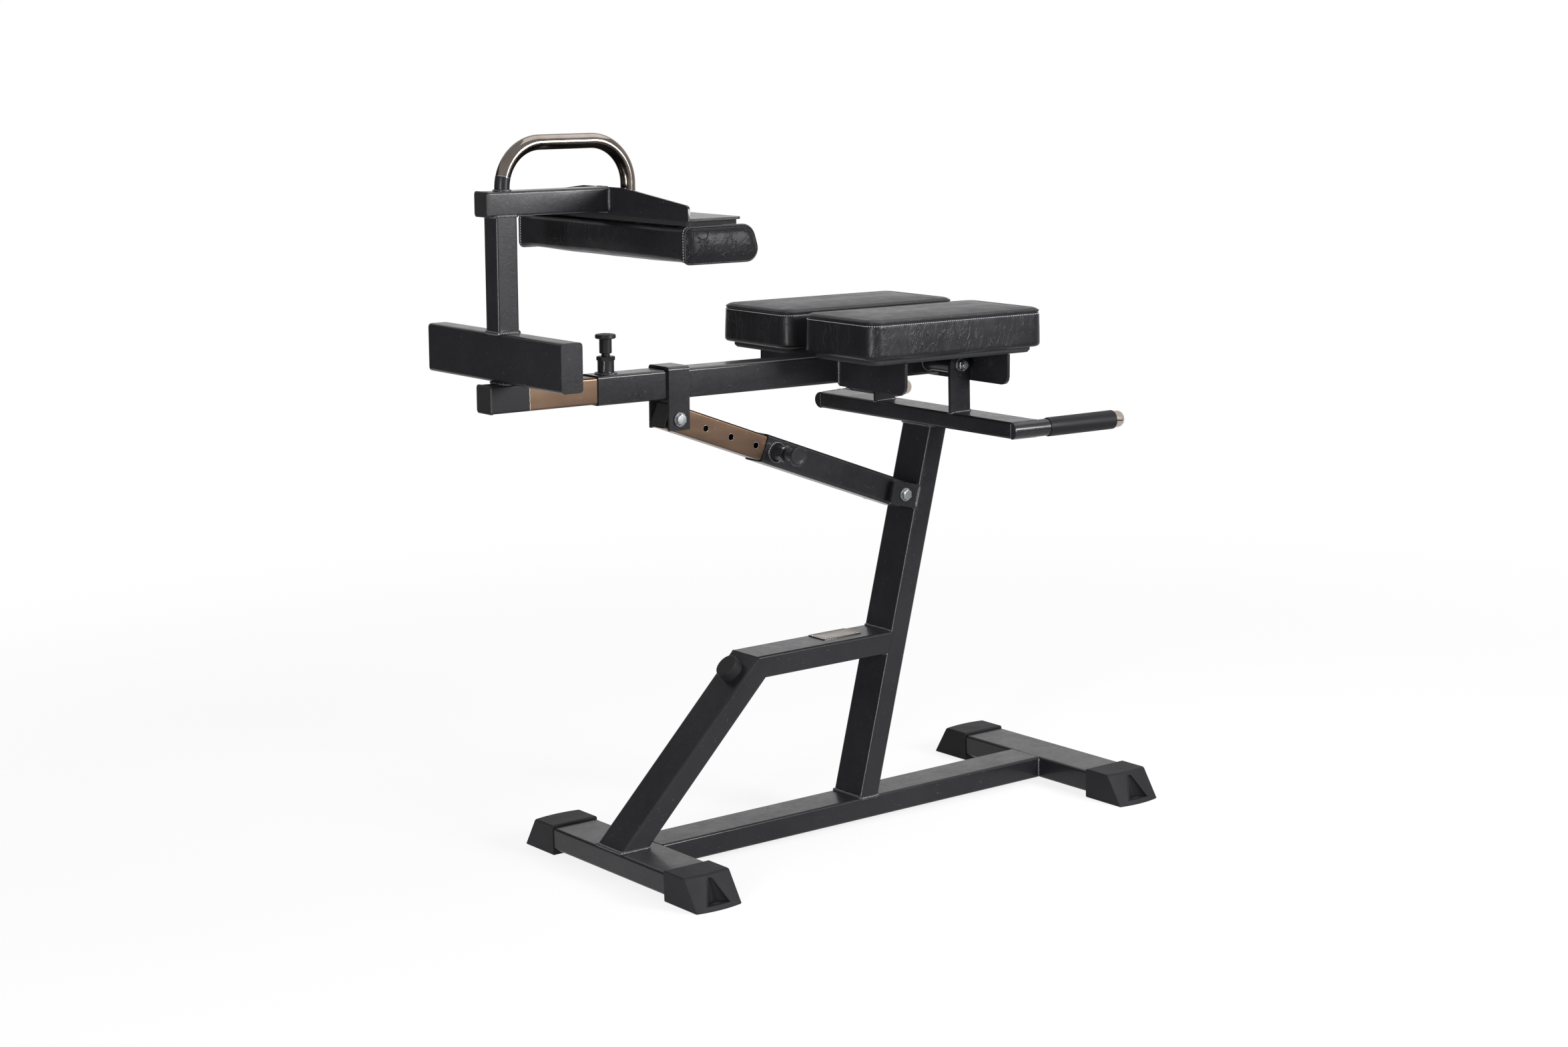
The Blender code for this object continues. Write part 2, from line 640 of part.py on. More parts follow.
def build_handles(bench):
    """Crossbar with mitred ends, handle tubes notched over them, grips and domed end caps."""
    centre_height = CROSSBAR_BOTTOM + CROSSBAR_HEIGHT / 2
    slope = math.tan(HANDLE_SPLAY)
    seat = (HANDLE_SEAT + FIT) / math.cos(HANDLE_SPLAY)
    half = HANDLE_SPREAD / 2 + CROSSBAR_WIDTH / 2 * slope - seat
    mesh = square_tube(
        "handle_crossbar", CROSSBAR_HEIGHT, CROSSBAR_WIDTH, FRAME_CORNER, FRAME_WALL,
        -half, half, -slope, slope,
    )
    centre = (CROSSBAR_FRONT + CROSSBAR_WIDTH / 2, 0.0, centre_height)
    add_piece("handle_crossbar", mesh, "powder_coat", bench, centre, (math.pi / 2, 0.0, math.pi / 2))
    notch_end = (CROSSBAR_WIDTH + FIT) / math.cos(HANDLE_SPLAY)

    bore = HANDLE_RADIUS - HANDLE_WALL
    tube_sections = (
        ("circle", HANDLE_RADIUS - HANDLE_CHAMFER, 0.0),
        ("circle", HANDLE_RADIUS, HANDLE_CHAMFER),
        ("circle", HANDLE_RADIUS, HANDLE_LENGTH),
        ("circle", bore, HANDLE_LENGTH),
        ("circle", bore, HANDLE_WALL),
    )
    grip_bore = HANDLE_RADIUS + FIT
    grip_sections = (
        ("circle", grip_bore, GRIP_START),
        ("circle", GRIP_RADIUS - GRIP_ROUND * 0.5, GRIP_START),
        ("circle", GRIP_RADIUS, GRIP_START + GRIP_ROUND),
        ("circle", GRIP_RADIUS, HANDLE_LENGTH - GRIP_ROUND),
        ("circle", GRIP_RADIUS - GRIP_ROUND * 0.5, HANDLE_LENGTH),
        ("circle", grip_bore, HANDLE_LENGTH),
    )
    dome_start = HANDLE_LENGTH + HANDLE_CAP_RIM
    cap_sections = [
        ("circle", bore - FIT, HANDLE_LENGTH - HANDLE_CAP_STEM),
        ("circle", bore - FIT, HANDLE_LENGTH + FIT),
        ("circle", HANDLE_RADIUS, HANDLE_LENGTH + FIT),
        ("circle", HANDLE_RADIUS, dome_start),
    ]
    for across, along in arc((0.0, 0.0), 1.0, 0, 90, DOME_STEPS)[1:-1]:
        height = dome_start + HANDLE_CAP_DOME * along
        cap_sections.append(("circle", HANDLE_RADIUS * across, height))
    for hand, side in (("right", -1), ("left", 1)):
        place = (CROSSBAR_FRONT, side * HANDLE_SPREAD / 2, centre_height)
        tube_name = f"handle_tube_{hand}"
        grip_name = f"grip_{hand}"
        cap_name = f"handle_cap_{hand}"
        turn = (0.0, math.pi / 2, side * HANDLE_SPLAY)
        tube = add_piece(tube_name, turned(tube_name, tube_sections), "powder_coat", bench, place, turn)
        reach = HANDLE_RADIUS + HANDLE_SEAT
        outline = [(a * reach, -side * b) for a, b in (
            (-1, HANDLE_SEAT), (1, HANDLE_SEAT), (1, HANDLE_SEAT + reach), (-1, HANDLE_SEAT + reach)
        )]
        cut(tube, plate(tube_name + "_notch", outline, -HANDLE_SEAT, notch_end, "Z"))
        grip = turned(grip_name, grip_sections, hollow=True)
        add_piece(grip_name, grip, "foam_grip", bench, place, turn)
        add_piece(cap_name, turned(cap_name, cap_sections), "chrome", bench, place, turn)


def bolt_mesh(name, radius, flats, head_height, washer, grip, tail):
    """Bolt along Z: its head sits on a washer face at zero and its shank runs down."""
    sections = (
        ("circle", radius - HEAD_CHAMFER, -grip - tail),
        ("circle", radius, -grip - tail + HEAD_CHAMFER),
        ("circle", radius, FIT),
        ("circle", washer, FIT),
        ("circle", washer, WASHER_THICKNESS),
        ("hexagon", flats / 2, WASHER_THICKNESS),
        ("hexagon", flats / 2, WASHER_THICKNESS + head_height - HEAD_CHAMFER),
        ("circle", flats / 2 - HEAD_CHAMFER, WASHER_THICKNESS + head_height),
    )
    return turned(name, sections)


def nut_mesh(name, radius, flats, height, washer):
    """Lock nut on a washer face at zero, along Z, with a rounded collar at its top."""
    bore = radius + BOLT_PLAY
    collar_start = WASHER_THICKNESS + height * NUT_HEXAGON_SHARE
    sections = (
        ("circle", bore, FIT),
        ("circle", washer, FIT),
        ("circle", washer, WASHER_THICKNESS),
        ("hexagon", flats / 2, WASHER_THICKNESS),
        ("hexagon", flats / 2, collar_start),
        ("circle", flats / 2 - HEAD_CHAMFER, collar_start + HEAD_CHAMFER),
        ("circle", flats / 2 - NUT_COLLAR_INSET, WASHER_THICKNESS + height),
        ("circle", bore, WASHER_THICKNESS + height),
    )
    return turned(name, sections, hollow=True)


def build_hip_pivot(bench):
    """Uprights on the crossbar, with the hip bolt and its lock nut."""
    rise = PIVOT_RISE - FIT
    half = UPRIGHT_WIDTH / 2
    outline = [(-half, -rise), (half, -rise)] + arc((0.0, 0.0), half, 0, 180, 12)
    for hand, side in (("right", -1), ("left", 1)):
        name = f"hip_upright_{hand}"
        mesh = plate(name, outline, side * UPRIGHT_INNER, side * UPRIGHT_OUTER, "Y")
        place = (PIVOT_X, 0.0, PIVOT_HEIGHT)
        upright = add_piece(name, mesh, "powder_coat", bench, place)
        hole = (0.0, side * UPRIGHT_OUTER, 0.0)
        drill(upright, HIP_BOLT_RADIUS + BOLT_PLAY, 4 * UPRIGHT_THICKNESS, hole, TO_LEFT)
    grip = 2 * UPRIGHT_OUTER
    tail = WASHER_THICKNESS + HIP_NUT_HEIGHT + BOLT_TAIL
    bolt = bolt_mesh(
        "hip_bolt", HIP_BOLT_RADIUS, HIP_BOLT_FLATS, HIP_HEAD_HEIGHT, WASHER_RADIUS, grip, tail
    )
    head = (PIVOT_X, UPRIGHT_OUTER, PIVOT_HEIGHT)
    add_piece("hip_bolt", bolt, "zinc", bench, head, TO_LEFT)
    nut = nut_mesh("hip_nut", HIP_BOLT_RADIUS, HIP_BOLT_FLATS, HIP_NUT_HEIGHT, WASHER_RADIUS)
    seat = (PIVOT_X, -UPRIGHT_OUTER, PIVOT_HEIGHT)
    add_piece("hip_nut", nut, "zinc", bench, seat, TO_RIGHT)


def lug_centre():
    """The strut's lower bolt, measured along and out of the column's front face."""
    return COLUMN_FOOT + COLUMN_UP * LUG_ALONG + COLUMN_OUT * LUG_OUT


def build_lugs(bench):
    """Lugs on the column's front face with spacer bosses, their bolt and nut."""
    centre = lug_centre()
    turn = (0.0, COLUMN_LEAN - math.pi / 2, 0.0)
    depth = LUG_REACH - FIT
    middle = depth / 2 + FIT - LUG_OUT
    outline = rounded_rectangle(LUG_WIDTH, depth, LUG_CORNER)
    outline = [(a, b + middle) for a, b in outline]
    boss_inner = HALF_STRUT + LUG_BOSS_GAP
    boss_outer = LUG_OUTER - LUG_THICKNESS / 2
    for hand, side in (("right", -1), ("left", 1)):
        name = f"strut_lug_{hand}"
        mesh = plate(name, outline, side * LUG_INNER, side * LUG_OUTER, "Y")
        lug = add_piece(name, mesh, "powder_coat", bench, centre, turn)
        boss = turned(
            name + "_boss",
            (("circle", LUG_BOSS_RADIUS, boss_inner), ("circle", LUG_BOSS_RADIUS, boss_outer)),
        )
        combine(lug, boss, "UNION", (0.0, 0.0, 0.0), TO_RIGHT if side < 0 else TO_LEFT)
        hole = (0.0, side * LUG_INNER, 0.0)
        drill(lug, PIVOT_BOLT_RADIUS + BOLT_PLAY, 8 * LUG_THICKNESS, hole, TO_LEFT)
    add_pivot_bolt(bench, "lug", centre, LUG_OUTER)


def add_pivot_bolt(parent, prefix, centre, reach):
    """Bolt from the right, with its nut on the left, through two walls at a reach."""
    tail = WASHER_THICKNESS + PIVOT_NUT_HEIGHT + BOLT_TAIL
    bolt = bolt_mesh(
        prefix + "_bolt", PIVOT_BOLT_RADIUS, PIVOT_BOLT_FLATS, PIVOT_HEAD_HEIGHT,
        PIVOT_WASHER_RADIUS, 2 * reach, tail,
    )
    right = Vector(centre) + Vector((0.0, -reach, 0.0))
    left = Vector(centre) + Vector((0.0, reach, 0.0))
    add_piece(prefix + "_bolt", bolt, "zinc", parent, right, TO_RIGHT)
    nut = nut_mesh(
        prefix + "_nut", PIVOT_BOLT_RADIUS, PIVOT_BOLT_FLATS, PIVOT_NUT_HEIGHT, PIVOT_WASHER_RADIUS
    )
    add_piece(prefix + "_nut", nut, "zinc", parent, left, TO_LEFT)


def build_beam(beam):
    """Main beam with the pivot tube through it, the strap and its bolt."""
    mesh = square_tube(
        "main_beam", BEAM_SIZE, BEAM_SIZE, BEAM_CORNER, BEAM_WALL, BEAM_FRONT, BEAM_REAR
    )
    main_beam = add_piece("main_beam", mesh, "powder_coat", beam)
    drill(main_beam, PIVOT_TUBE_RADIUS + FIT, 2 * BEAM_SIZE, (0.0, 0.0, 0.0), TO_LEFT)
    drill(main_beam, PIN_RADIUS + BOLT_PLAY, HALF_BEAM, (BEAM_PIN, 0.0, HALF_BEAM))

    half = UPRIGHT_INNER - PIVOT_END_GAP
    bush = HIP_BOLT_RADIUS + BOLT_PLAY
    sections = (
        ("circle", bush, -half),
        ("circle", PIVOT_TUBE_RADIUS, -half),
        ("circle", PIVOT_TUBE_RADIUS, half),
        ("circle", bush, half),
        ("circle", bush, half - PIVOT_BUSH_DEPTH),
        ("circle", PIVOT_TUBE_BORE, half - PIVOT_BUSH_DEPTH),
        ("circle", PIVOT_TUBE_BORE, PIVOT_BUSH_DEPTH - half),
        ("circle", bush, PIVOT_BUSH_DEPTH - half),
    )
    pivot_tube = turned("pivot_tube", sections, hollow=True)
    add_piece("pivot_tube", pivot_tube, "powder_coat", beam, (0.0, 0.0, 0.0), TO_LEFT)

    strap = plate(
        "beam_strap", strap_outline(), -STRAP_WIDTH / 2, STRAP_WIDTH / 2, "X"
    )
    strap_piece = add_piece("beam_strap", strap, "powder_coat", beam, (STRAP_CENTRE, 0.0, 0.0))
    hole = (0.0, 0.0, -STRUT_DROP)
    drill(strap_piece, PIVOT_BOLT_RADIUS + BOLT_PLAY, 4 * BEAM_SIZE, hole, TO_LEFT)
    add_pivot_bolt(beam, "strap", (STRAP_CENTRE, 0.0, -STRUT_DROP), STRAP_OUTER)


def strap_outline():
    """Section of the strap: a flat bar bent over the beam, both legs hanging below it."""
    bottom = HALF_BEAM - STRAP_DROP
    outer = STRAP_OUTER
    inner = STRAP_INNER
    bend = STRAP_BEND
    inner_bend = bend - STRAP_THICKNESS
    outline = [(outer, bottom)]
    outline += arc((outer - bend, outer - bend), bend, 0, 90, CORNER_STEPS)
    outline += arc((bend - outer, outer - bend), bend, 90, 180, CORNER_STEPS)
    outline += [(-outer, bottom), (-inner, bottom)]
    outline += arc((inner_bend - inner, inner - inner_bend), inner_bend, 180, 90, CORNER_STEPS)
    outline += arc((inner - inner_bend, inner - inner_bend), inner_bend, 90, 0, CORNER_STEPS)
    outline += [(inner, bottom)]
    return outline


def build_spring_pin(prefix, housing_parent, pin_parent, location, rotation, wall):
    """Spring pin out of a tube's wall: housing, plunger, knob and coil spring, along Z."""
    bore = PIN_RADIUS + BOLT_PLAY
    collar_top = BARREL_HEIGHT + COLLAR_HEIGHT
    guide_top = collar_top + GUIDE_HEIGHT
    housing = (
        ("circle", BARREL_BORE, FIT),
        ("circle", BARREL_RADIUS + BARREL_FLARE, FIT),
        ("circle", BARREL_RADIUS + BARREL_FLARE / 3, BARREL_FLARE / 2),
        ("circle", BARREL_RADIUS, BARREL_FLARE * 4 / 3),
        ("circle", BARREL_RADIUS, BARREL_HEIGHT),
        ("hexagon", COLLAR_FLATS / 2, BARREL_HEIGHT + PIN_CHAMFER),
        ("hexagon", COLLAR_FLATS / 2, collar_top - PIN_CHAMFER),
        ("circle", COLLAR_FLATS / 2 - PIN_CHAMFER, collar_top),
        ("circle", GUIDE_RADIUS, collar_top),
        ("circle", GUIDE_RADIUS, guide_top),
        ("circle", bore, guide_top),
        ("circle", bore, BARREL_HEIGHT),
        ("circle", BARREL_BORE, BARREL_HEIGHT),
    )
    name = prefix + "_housing"
    mesh = turned(name, housing, hollow=True)
    add_piece(name, mesh, "powder_coat", housing_parent, location, rotation)

    shoulder_top = SHOULDER_START + SHOULDER_HEIGHT
    neck_start = guide_top + FIT
    rod_top = neck_start + KNOB_SOCKET
    plunger = (
        ("circle", PIN_RADIUS, -wall),
        ("circle", PIN_RADIUS, SHOULDER_START),
        ("circle", SHOULDER_RADIUS, SHOULDER_START),
        ("circle", SHOULDER_RADIUS, shoulder_top),
        ("circle", PIN_RADIUS, shoulder_top),
        ("circle", PIN_RADIUS, rod_top),
    )
    axis = add_axis(prefix + "_axis", pin_parent, location, rotation)
    name = prefix + "_plunger"
    add_piece(name, turned(name, plunger, SMALL_SIDES), "zinc", axis)

    neck_end = neck_start + NECK_HEIGHT
    knob_top = neck_end + KNOB_HEIGHT
    knob = (
        ("circle", bore, rod_top + FIT),
        ("circle", bore, neck_start),
        ("circle", NECK_RADIUS - PIN_CHAMFER, neck_start),
        ("circle", NECK_RADIUS, neck_start + PIN_CHAMFER),
        ("circle", NECK_RADIUS, neck_end),
        ("circle", KNOB_RADIUS - KNOB_ROUND, neck_end + PIN_CHAMFER),
        ("circle", KNOB_RADIUS, neck_end + KNOB_ROUND),
        ("circle", KNOB_RADIUS, knob_top - KNOB_ROUND),
        ("circle", KNOB_RADIUS - KNOB_ROUND / 2, knob_top - KNOB_ROUND / 4),
        ("circle", KNOB_RADIUS - 2 * KNOB_ROUND, knob_top),
        ("circle", KNOB_RADIUS / 2, knob_top - KNOB_DISH),
    )
    name = prefix + "_knob"
    add_piece(name, turned(name, knob), "black_plastic", axis)

    low = shoulder_top + SPRING_WIRE / 2 + FIT
    high = BARREL_HEIGHT - SPRING_WIRE / 2 - FIT
    name = prefix + "_spring"
    add_piece(name, spring_mesh(name, low, high), "spring_steel", axis)


def spring_mesh(name, low, high):
    """Coil about Z from one height to another."""
    steps = SPRING_TURNS * SPRING_STEPS
    points = []
    for step in range(steps + 1):
        angle = 2 * math.pi * step / SPRING_STEPS
        height = low + (high - low) * step / steps
        across = SPRING_RADIUS * math.cos(angle)
        along = SPRING_RADIUS * math.sin(angle)
        points.append(Vector((across, along, height)))

    def outward(index):
        return Vector((points[index].x, points[index].y, 0.0))

    return swept(name, points, outward, SPRING_WIRE / 2, SPRING_SIDES)


def bracket_outline(inner, outer):
    """Pad bracket between two places across the beam, its free lower corners rounded."""
    top = BOARD_BOTTOM - FIT
    bottom = top - BRACKET_DROP
    corner = BRACKET_CORNER
    outline = [(inner, top)]
    if inner < 0:
        outline += arc((inner + corner, bottom + corner), corner, 180, 270, CORNER_STEPS)
    else:
        outline += [(inner, bottom)]
    outline += arc((outer - corner, bottom + corner), corner, 270, 360, CORNER_STEPS)
    outline += [(outer, top)]
    return outline


def build_pad_brackets(beam):
    """Front brackets on the beam's sides and one rear bracket across its end."""
    reach = bracket_outline(HALF_BEAM + FIT, FRONT_BRACKET_REACH)
    for hand, side in (("right", -1), ("left", 1)):
        name = f"front_bracket_{hand}"
        outline = [(side * y, z) for y, z in reach]
        mesh = plate(name, outline, 0.0, BRACKET_THICKNESS, "X")
        add_piece(name, mesh, "powder_coat", beam, (FRONT_BRACKET, 0.0, 0.0))
    outline = bracket_outline(-REAR_BRACKET_REACH, REAR_BRACKET_REACH)
    mesh = plate("rear_bracket", outline, 0.0, BRACKET_THICKNESS, "X")
    add_piece("rear_bracket", mesh, "powder_coat", beam, (BEAM_REAR + FIT, 0.0, 0.0))


def cushion_mesh(name, length, width):
    """Cushion with drawn-in lower edge, bulging sides, a tucked seam and a crown."""
    under = arc((PAD_UNDER_ROUND, PAD_UNDER_ROUND), PAD_UNDER_ROUND, 270, 180, CORNER_STEPS)
    levels = [(height, inset) for inset, height in under]
    levels += [
        (PAD_SEAM * 0.42, -PAD_BULGE * 0.4),
        (PAD_SEAM * 0.70, -PAD_BULGE * 0.2),
        (PAD_SEAM - PAD_SEAM_WIDTH, PAD_TUCK * 0.6),
        (PAD_SEAM, PAD_TUCK * 1.6),
        (PAD_SEAM + PAD_SEAM_WIDTH, PAD_TUCK * 1.5),
    ]
    for share_in, share_up in ((0.05, 0.42), (0.14, 0.63), (0.42, 0.88), (1.0, 1.0)):
        levels.append((PAD_SEAM + PAD_CROWN * share_up, PAD_TUCK * 2 + PAD_CROWN_RUN * share_in))
    rings = []
    for height, inset in levels:
        corner = max(PAD_CORNER - inset, PAD_CORNER / 3)
        outline = rounded_rectangle(length - 2 * inset, width - 2 * inset, corner, PAD_CORNER_STEPS)
        rings.append([(x, y, height) for x, y in spread_outline(outline)])
    return mesh_from_rings(name, rings, smooth_angle=75.0)


def spread_outline(outline):
    """Split the long straight sides of an outline and bow them outward a little."""
    points = []
    for index, (x, y) in enumerate(outline):
        points.append((x, y))
        next_x, next_y = outline[(index + 1) % len(outline)]
        length = math.hypot(next_x - x, next_y - y)
        if length < PAD_CORNER:
            continue
        for part in range(1, PAD_SIDE_PARTS):
            share = part / PAD_SIDE_PARTS
            swell = PAD_BULGE * 4 * share * (1 - share) / length
            out_x = x + (next_x - x) * share + (next_y - y) * swell
            out_y = y + (next_y - y) * share + (x - next_x) * swell
            points.append((out_x, out_y))
    return points


def build_hip_pads(beam):
    """Boards on the brackets, each with a cushion."""
    length = PAD_REAR - PAD_FRONT
    width = PAD_OUTER - PAD_INNER
    board_length = length - 2 * BOARD_INSET
    board_width = width - 2 * BOARD_INSET
    board_corner = PAD_CORNER - BOARD_INSET
    board_levels = (
        (0.0, BOARD_CHAMFER),
        (BOARD_CHAMFER, 0.0),
        (BOARD_THICKNESS, 0.0),
    )
    for hand, side in (("right", -1), ("left", 1)):
        centre_x = (PAD_FRONT + PAD_REAR) / 2
        centre_y = side * (PAD_INNER + PAD_OUTER) / 2
        name = f"pad_board_{hand}"
        rings = []
        for height, inset in board_levels:
            outline = rounded_rectangle(
                board_length - 2 * inset, board_width - 2 * inset, board_corner - inset
            )
            rings.append([(x, y, height) for x, y in outline])
        mesh = mesh_from_rings(name, rings, smooth_angle=30.0)
        add_piece(name, mesh, "board", beam, (centre_x, centre_y, BOARD_BOTTOM))
        name = f"hip_pad_{hand}"
        cushion = cushion_mesh(name, length - 2 * PAD_BULGE, width - 2 * PAD_BULGE)
        add_piece(name, cushion, "vinyl", beam, (centre_x, centre_y, PAD_BOTTOM))


def build_carriage(carriage):
    """Inner beam with its end cap, foot plate, post and upper tube."""
    mesh = square_tube(
        "inner_beam", INNER_SIZE, INNER_SIZE, INNER_CORNER, INNER_WALL, INNER_FRONT, INNER_REAR
    )
    inner_beam = add_piece("inner_beam", mesh, "plated_steel", carriage)
    for step in range(-BEAM_HOLES_IN, BEAM_HOLES_OUT + 1):
        place = (BEAM_PIN + step * BEAM_HOLE_PITCH, 0.0, HALF_INNER)
        drill(inner_beam, PIN_RADIUS + BOLT_PLAY, HALF_INNER, place)
    add_tube_cap("inner_beam_cap", carriage, INNER_SIZE, INNER_WALL, INNER_FRONT, END_CAP_LIP, 0.0)

    half = FOOT_PLATE_SPAN / 2 - END_PLATE - FIT
    centre = (
        FOOT_PLATE_FRONT + FOOT_PLATE_DEPTH / 2,
        0.0,
        FOOT_PLATE_BOTTOM + FOOT_PLATE_HEIGHT / 2,
    )
    across = (0.0, 0.0, math.pi / 2)
    mesh = square_tube(
        "foot_plate", FOOT_PLATE_DEPTH, FOOT_PLATE_HEIGHT, FOOT_PLATE_CORNER, FRAME_WALL, -half, half
    )
    foot_plate = add_piece("foot_plate", mesh, "powder_coat", carriage, centre, across)
    packer = FOOT_PLATE_RISE - FIT
    packer_outline = rounded_rectangle(PACKER_WIDTH, PACKER_DEPTH, PACKER_CORNER)
    floor = -FOOT_PLATE_HEIGHT / 2
    packer_top = floor + FRAME_WALL / 2
    packer_mesh = plate("foot_plate_packer", packer_outline, floor - packer, packer_top, "Z")
    combine(foot_plate, packer_mesh, "UNION")
    end_outline = rounded_rectangle(FOOT_PLATE_DEPTH, FOOT_PLATE_HEIGHT, FOOT_PLATE_CORNER)
    for hand, side in (("right", -1), ("left", 1)):
        name = f"foot_plate_end_{hand}"
        outer = side * FOOT_PLATE_SPAN / 2
        mesh = plate(name, end_outline, outer - side * END_PLATE, outer, "Y")
        add_piece(name, mesh, "powder_coat", carriage, centre)

    post_centre = (FOOT_PLATE_FRONT + FOOT_PLATE_DEPTH / 2, 0.0, 0.0)
    mesh = square_tube(
        "ankle_post", POST_SIZE, POST_SIZE, POST_CORNER, POST_WALL,
        FOOT_PLATE_TOP + FIT, ARM_BOTTOM - FIT,
    )
    add_piece("ankle_post", mesh, "powder_coat", carriage, post_centre, (0.0, -math.pi / 2, 0.0))
    mesh = square_tube(
        "ankle_arm", POST_SIZE, POST_SIZE, POST_CORNER, POST_WALL, ARM_FRONT, ARM_REAR
    )
    arm_height = ARM_BOTTOM + POST_SIZE / 2
    add_piece("ankle_arm", mesh, "powder_coat", carriage, (0.0, 0.0, arm_height))
    add_tube_cap(
        "ankle_arm_cap", carriage, POST_SIZE, POST_WALL, ARM_FRONT, ARM_CAP_LIP, arm_height
    )


def add_tube_cap(name, parent, size, wall, front, lip, height):
    """Plastic cap with a plug in a square tube's front end and a lipped flange."""
    plug = size - 2 * wall - 2 * FIT
    flange = size + 2 * lip
    edge = flange - 2 * END_CAP_ROUND
    outer = front - END_CAP_FLANGE
    sections = (
        (outer, edge, edge, INNER_CORNER),
        (outer + END_CAP_ROUND, flange, flange, INNER_CORNER),
        (front - FIT, flange, flange, INNER_CORNER),
        (front - FIT, plug, plug, INNER_CORNER - INNER_WALL),
        (front + END_CAP_PLUG, plug, plug, INNER_CORNER - INNER_WALL),
    )
    mesh = square_bar(name, sections)
    add_piece(name, mesh, "black_plastic", parent, (0.0, 0.0, height))


def build_ankle_pad(carriage):
    """Bent plate on the upper tube's end, with a board and the ankle cushion under it."""
    top = ARM_TOP
    bottom = FLANGE_BOTTOM
    half = FLANGE_HALF_SPAN
    profile = [
        (half, bottom),
        (half, top - FLANGE_CORNER_DROP),
        (half - FLANGE_CORNER_CUT, top - FLANGE_CORNER_DROP + 2 * FLANGE_CORNER_CUT),
        (FLANGE_SHOULDER, top - FLANGE_SHOULDER_DROP),
        (FLANGE_FLAT, top),
    ]
    outline = profile + [(-y, z) for y, z in reversed(profile)]
    mesh = plate("ankle_flange", outline, 0.0, FLANGE_THICKNESS, "X")
    flange = add_piece("ankle_flange", mesh, "powder_coat", carriage, (FLANGE_FRONT, 0.0, 0.0))
    shelf_outline = rounded_rectangle(FLANGE_DEPTH, 2 * half, FLANGE_SHELF_CORNER)
    inset = FLANGE_THICKNESS / 4
    shelf = [(max(x + FLANGE_DEPTH / 2, inset), y) for x, y in shelf_outline]
    shelf_mesh = plate("ankle_shelf", shelf, bottom, bottom + FLANGE_THICKNESS, "Z")
    combine(flange, shelf_mesh, "UNION")

    board_top = bottom - FIT
    board_bottom = board_top - ANKLE_BOARD_THICKNESS
    outline = rounded_rectangle(ANKLE_BOARD_DEPTH, ANKLE_BOARD_LENGTH, ANKLE_BOARD_CORNER)
    mesh = plate("ankle_board", outline, board_bottom, board_top, "Z")
    board_x = FLANGE_FRONT + ANKLE_BOARD_SETBACK + ANKLE_BOARD_DEPTH / 2
    add_piece("ankle_board", mesh, "board", carriage, (board_x, 0.0, 0.0))

    pad_top = board_bottom - FIT
    stations = ankle_pad_stations()
    rings = []
    for place, inset in stations:
        rings.append([(x, place, z) for x, z in ankle_pad_section(inset)])
    mesh = mesh_from_rings("ankle_pad", rings, smooth_angle=60.0)
    centre = (FLANGE_FRONT - ANKLE_PAD_LEAD, 0.0, pad_top - ANKLE_PAD_HEIGHT / 2)
    add_piece("ankle_pad", mesh, "vinyl", carriage, centre)


def ankle_pad_stations():
    """Places along the ankle cushion with the inset of its section: piped ends, full middle."""
    half = ANKLE_PAD_LENGTH / 2
    piping = ANKLE_PAD_PIPING
    one_end = (
        (half, ANKLE_PAD_ROUND * 0.78),
        (half - piping * 0.3, piping * 0.55),
        (half - piping, piping * 0.15),
        (half - piping * 1.8, piping * 0.6),
        (half - piping * 3.5, piping * 0.25),
        (half * 0.80, piping * 0.05),
        (half * 0.40, 0.0),
    )
    return [(-place, inset) for place, inset in one_end] + list(reversed(one_end))


def ankle_pad_section(inset):
    """Section of the ankle cushion: flat front with round edges, and a full round back."""
    half = ANKLE_PAD_HEIGHT / 2 - inset
    radius = ANKLE_PAD_ROUND
    front = inset
    back = ANKLE_PAD_DEPTH - ANKLE_PAD_BELLY - inset
    section = arc((front + radius, half - radius), radius, 180, 90, CORNER_STEPS)
    section += [((front + back) / 2, half)]
    for step in range(PAD_BACK_STEPS + 1):
        angle = math.pi * (0.5 - step / PAD_BACK_STEPS)
        bulge = abs(math.cos(angle)) ** ANKLE_PAD_FULLNESS
        section.append((back + ANKLE_PAD_BELLY * bulge, half * math.sin(angle)))
    section += [((front + back) / 2, -half)]
    section += arc((front + radius, radius - half), radius, 270, 180, CORNER_STEPS)
    return section


def build_grab_loop(carriage):
    """Bent tube from the upper tube's top to the bent plate's shelf."""
    bend_height = LOOP_TOP - LOOP_BEND
    path = [(LOOP_FRONT, ARM_TOP + FIT)]
    path += arc((LOOP_FRONT + LOOP_BEND, bend_height), LOOP_BEND, 180, 90, BEND_STEPS)
    path += arc((LOOP_REAR - LOOP_BEND, bend_height), LOOP_BEND, 90, 0, BEND_STEPS)
    path += [(LOOP_REAR, FLANGE_BOTTOM + FLANGE_THICKNESS + FIT)]
    points = [Vector((x, 0.0, z)) for x, z in path]

    def sideways(index):
        return Vector((0.0, 1.0, 0.0))

    mesh = swept("grab_loop", points, sideways, LOOP_TUBE_RADIUS, LOOP_SIDES, LOOP_WALL)
    add_piece("grab_loop", mesh, "plated_steel", carriage)


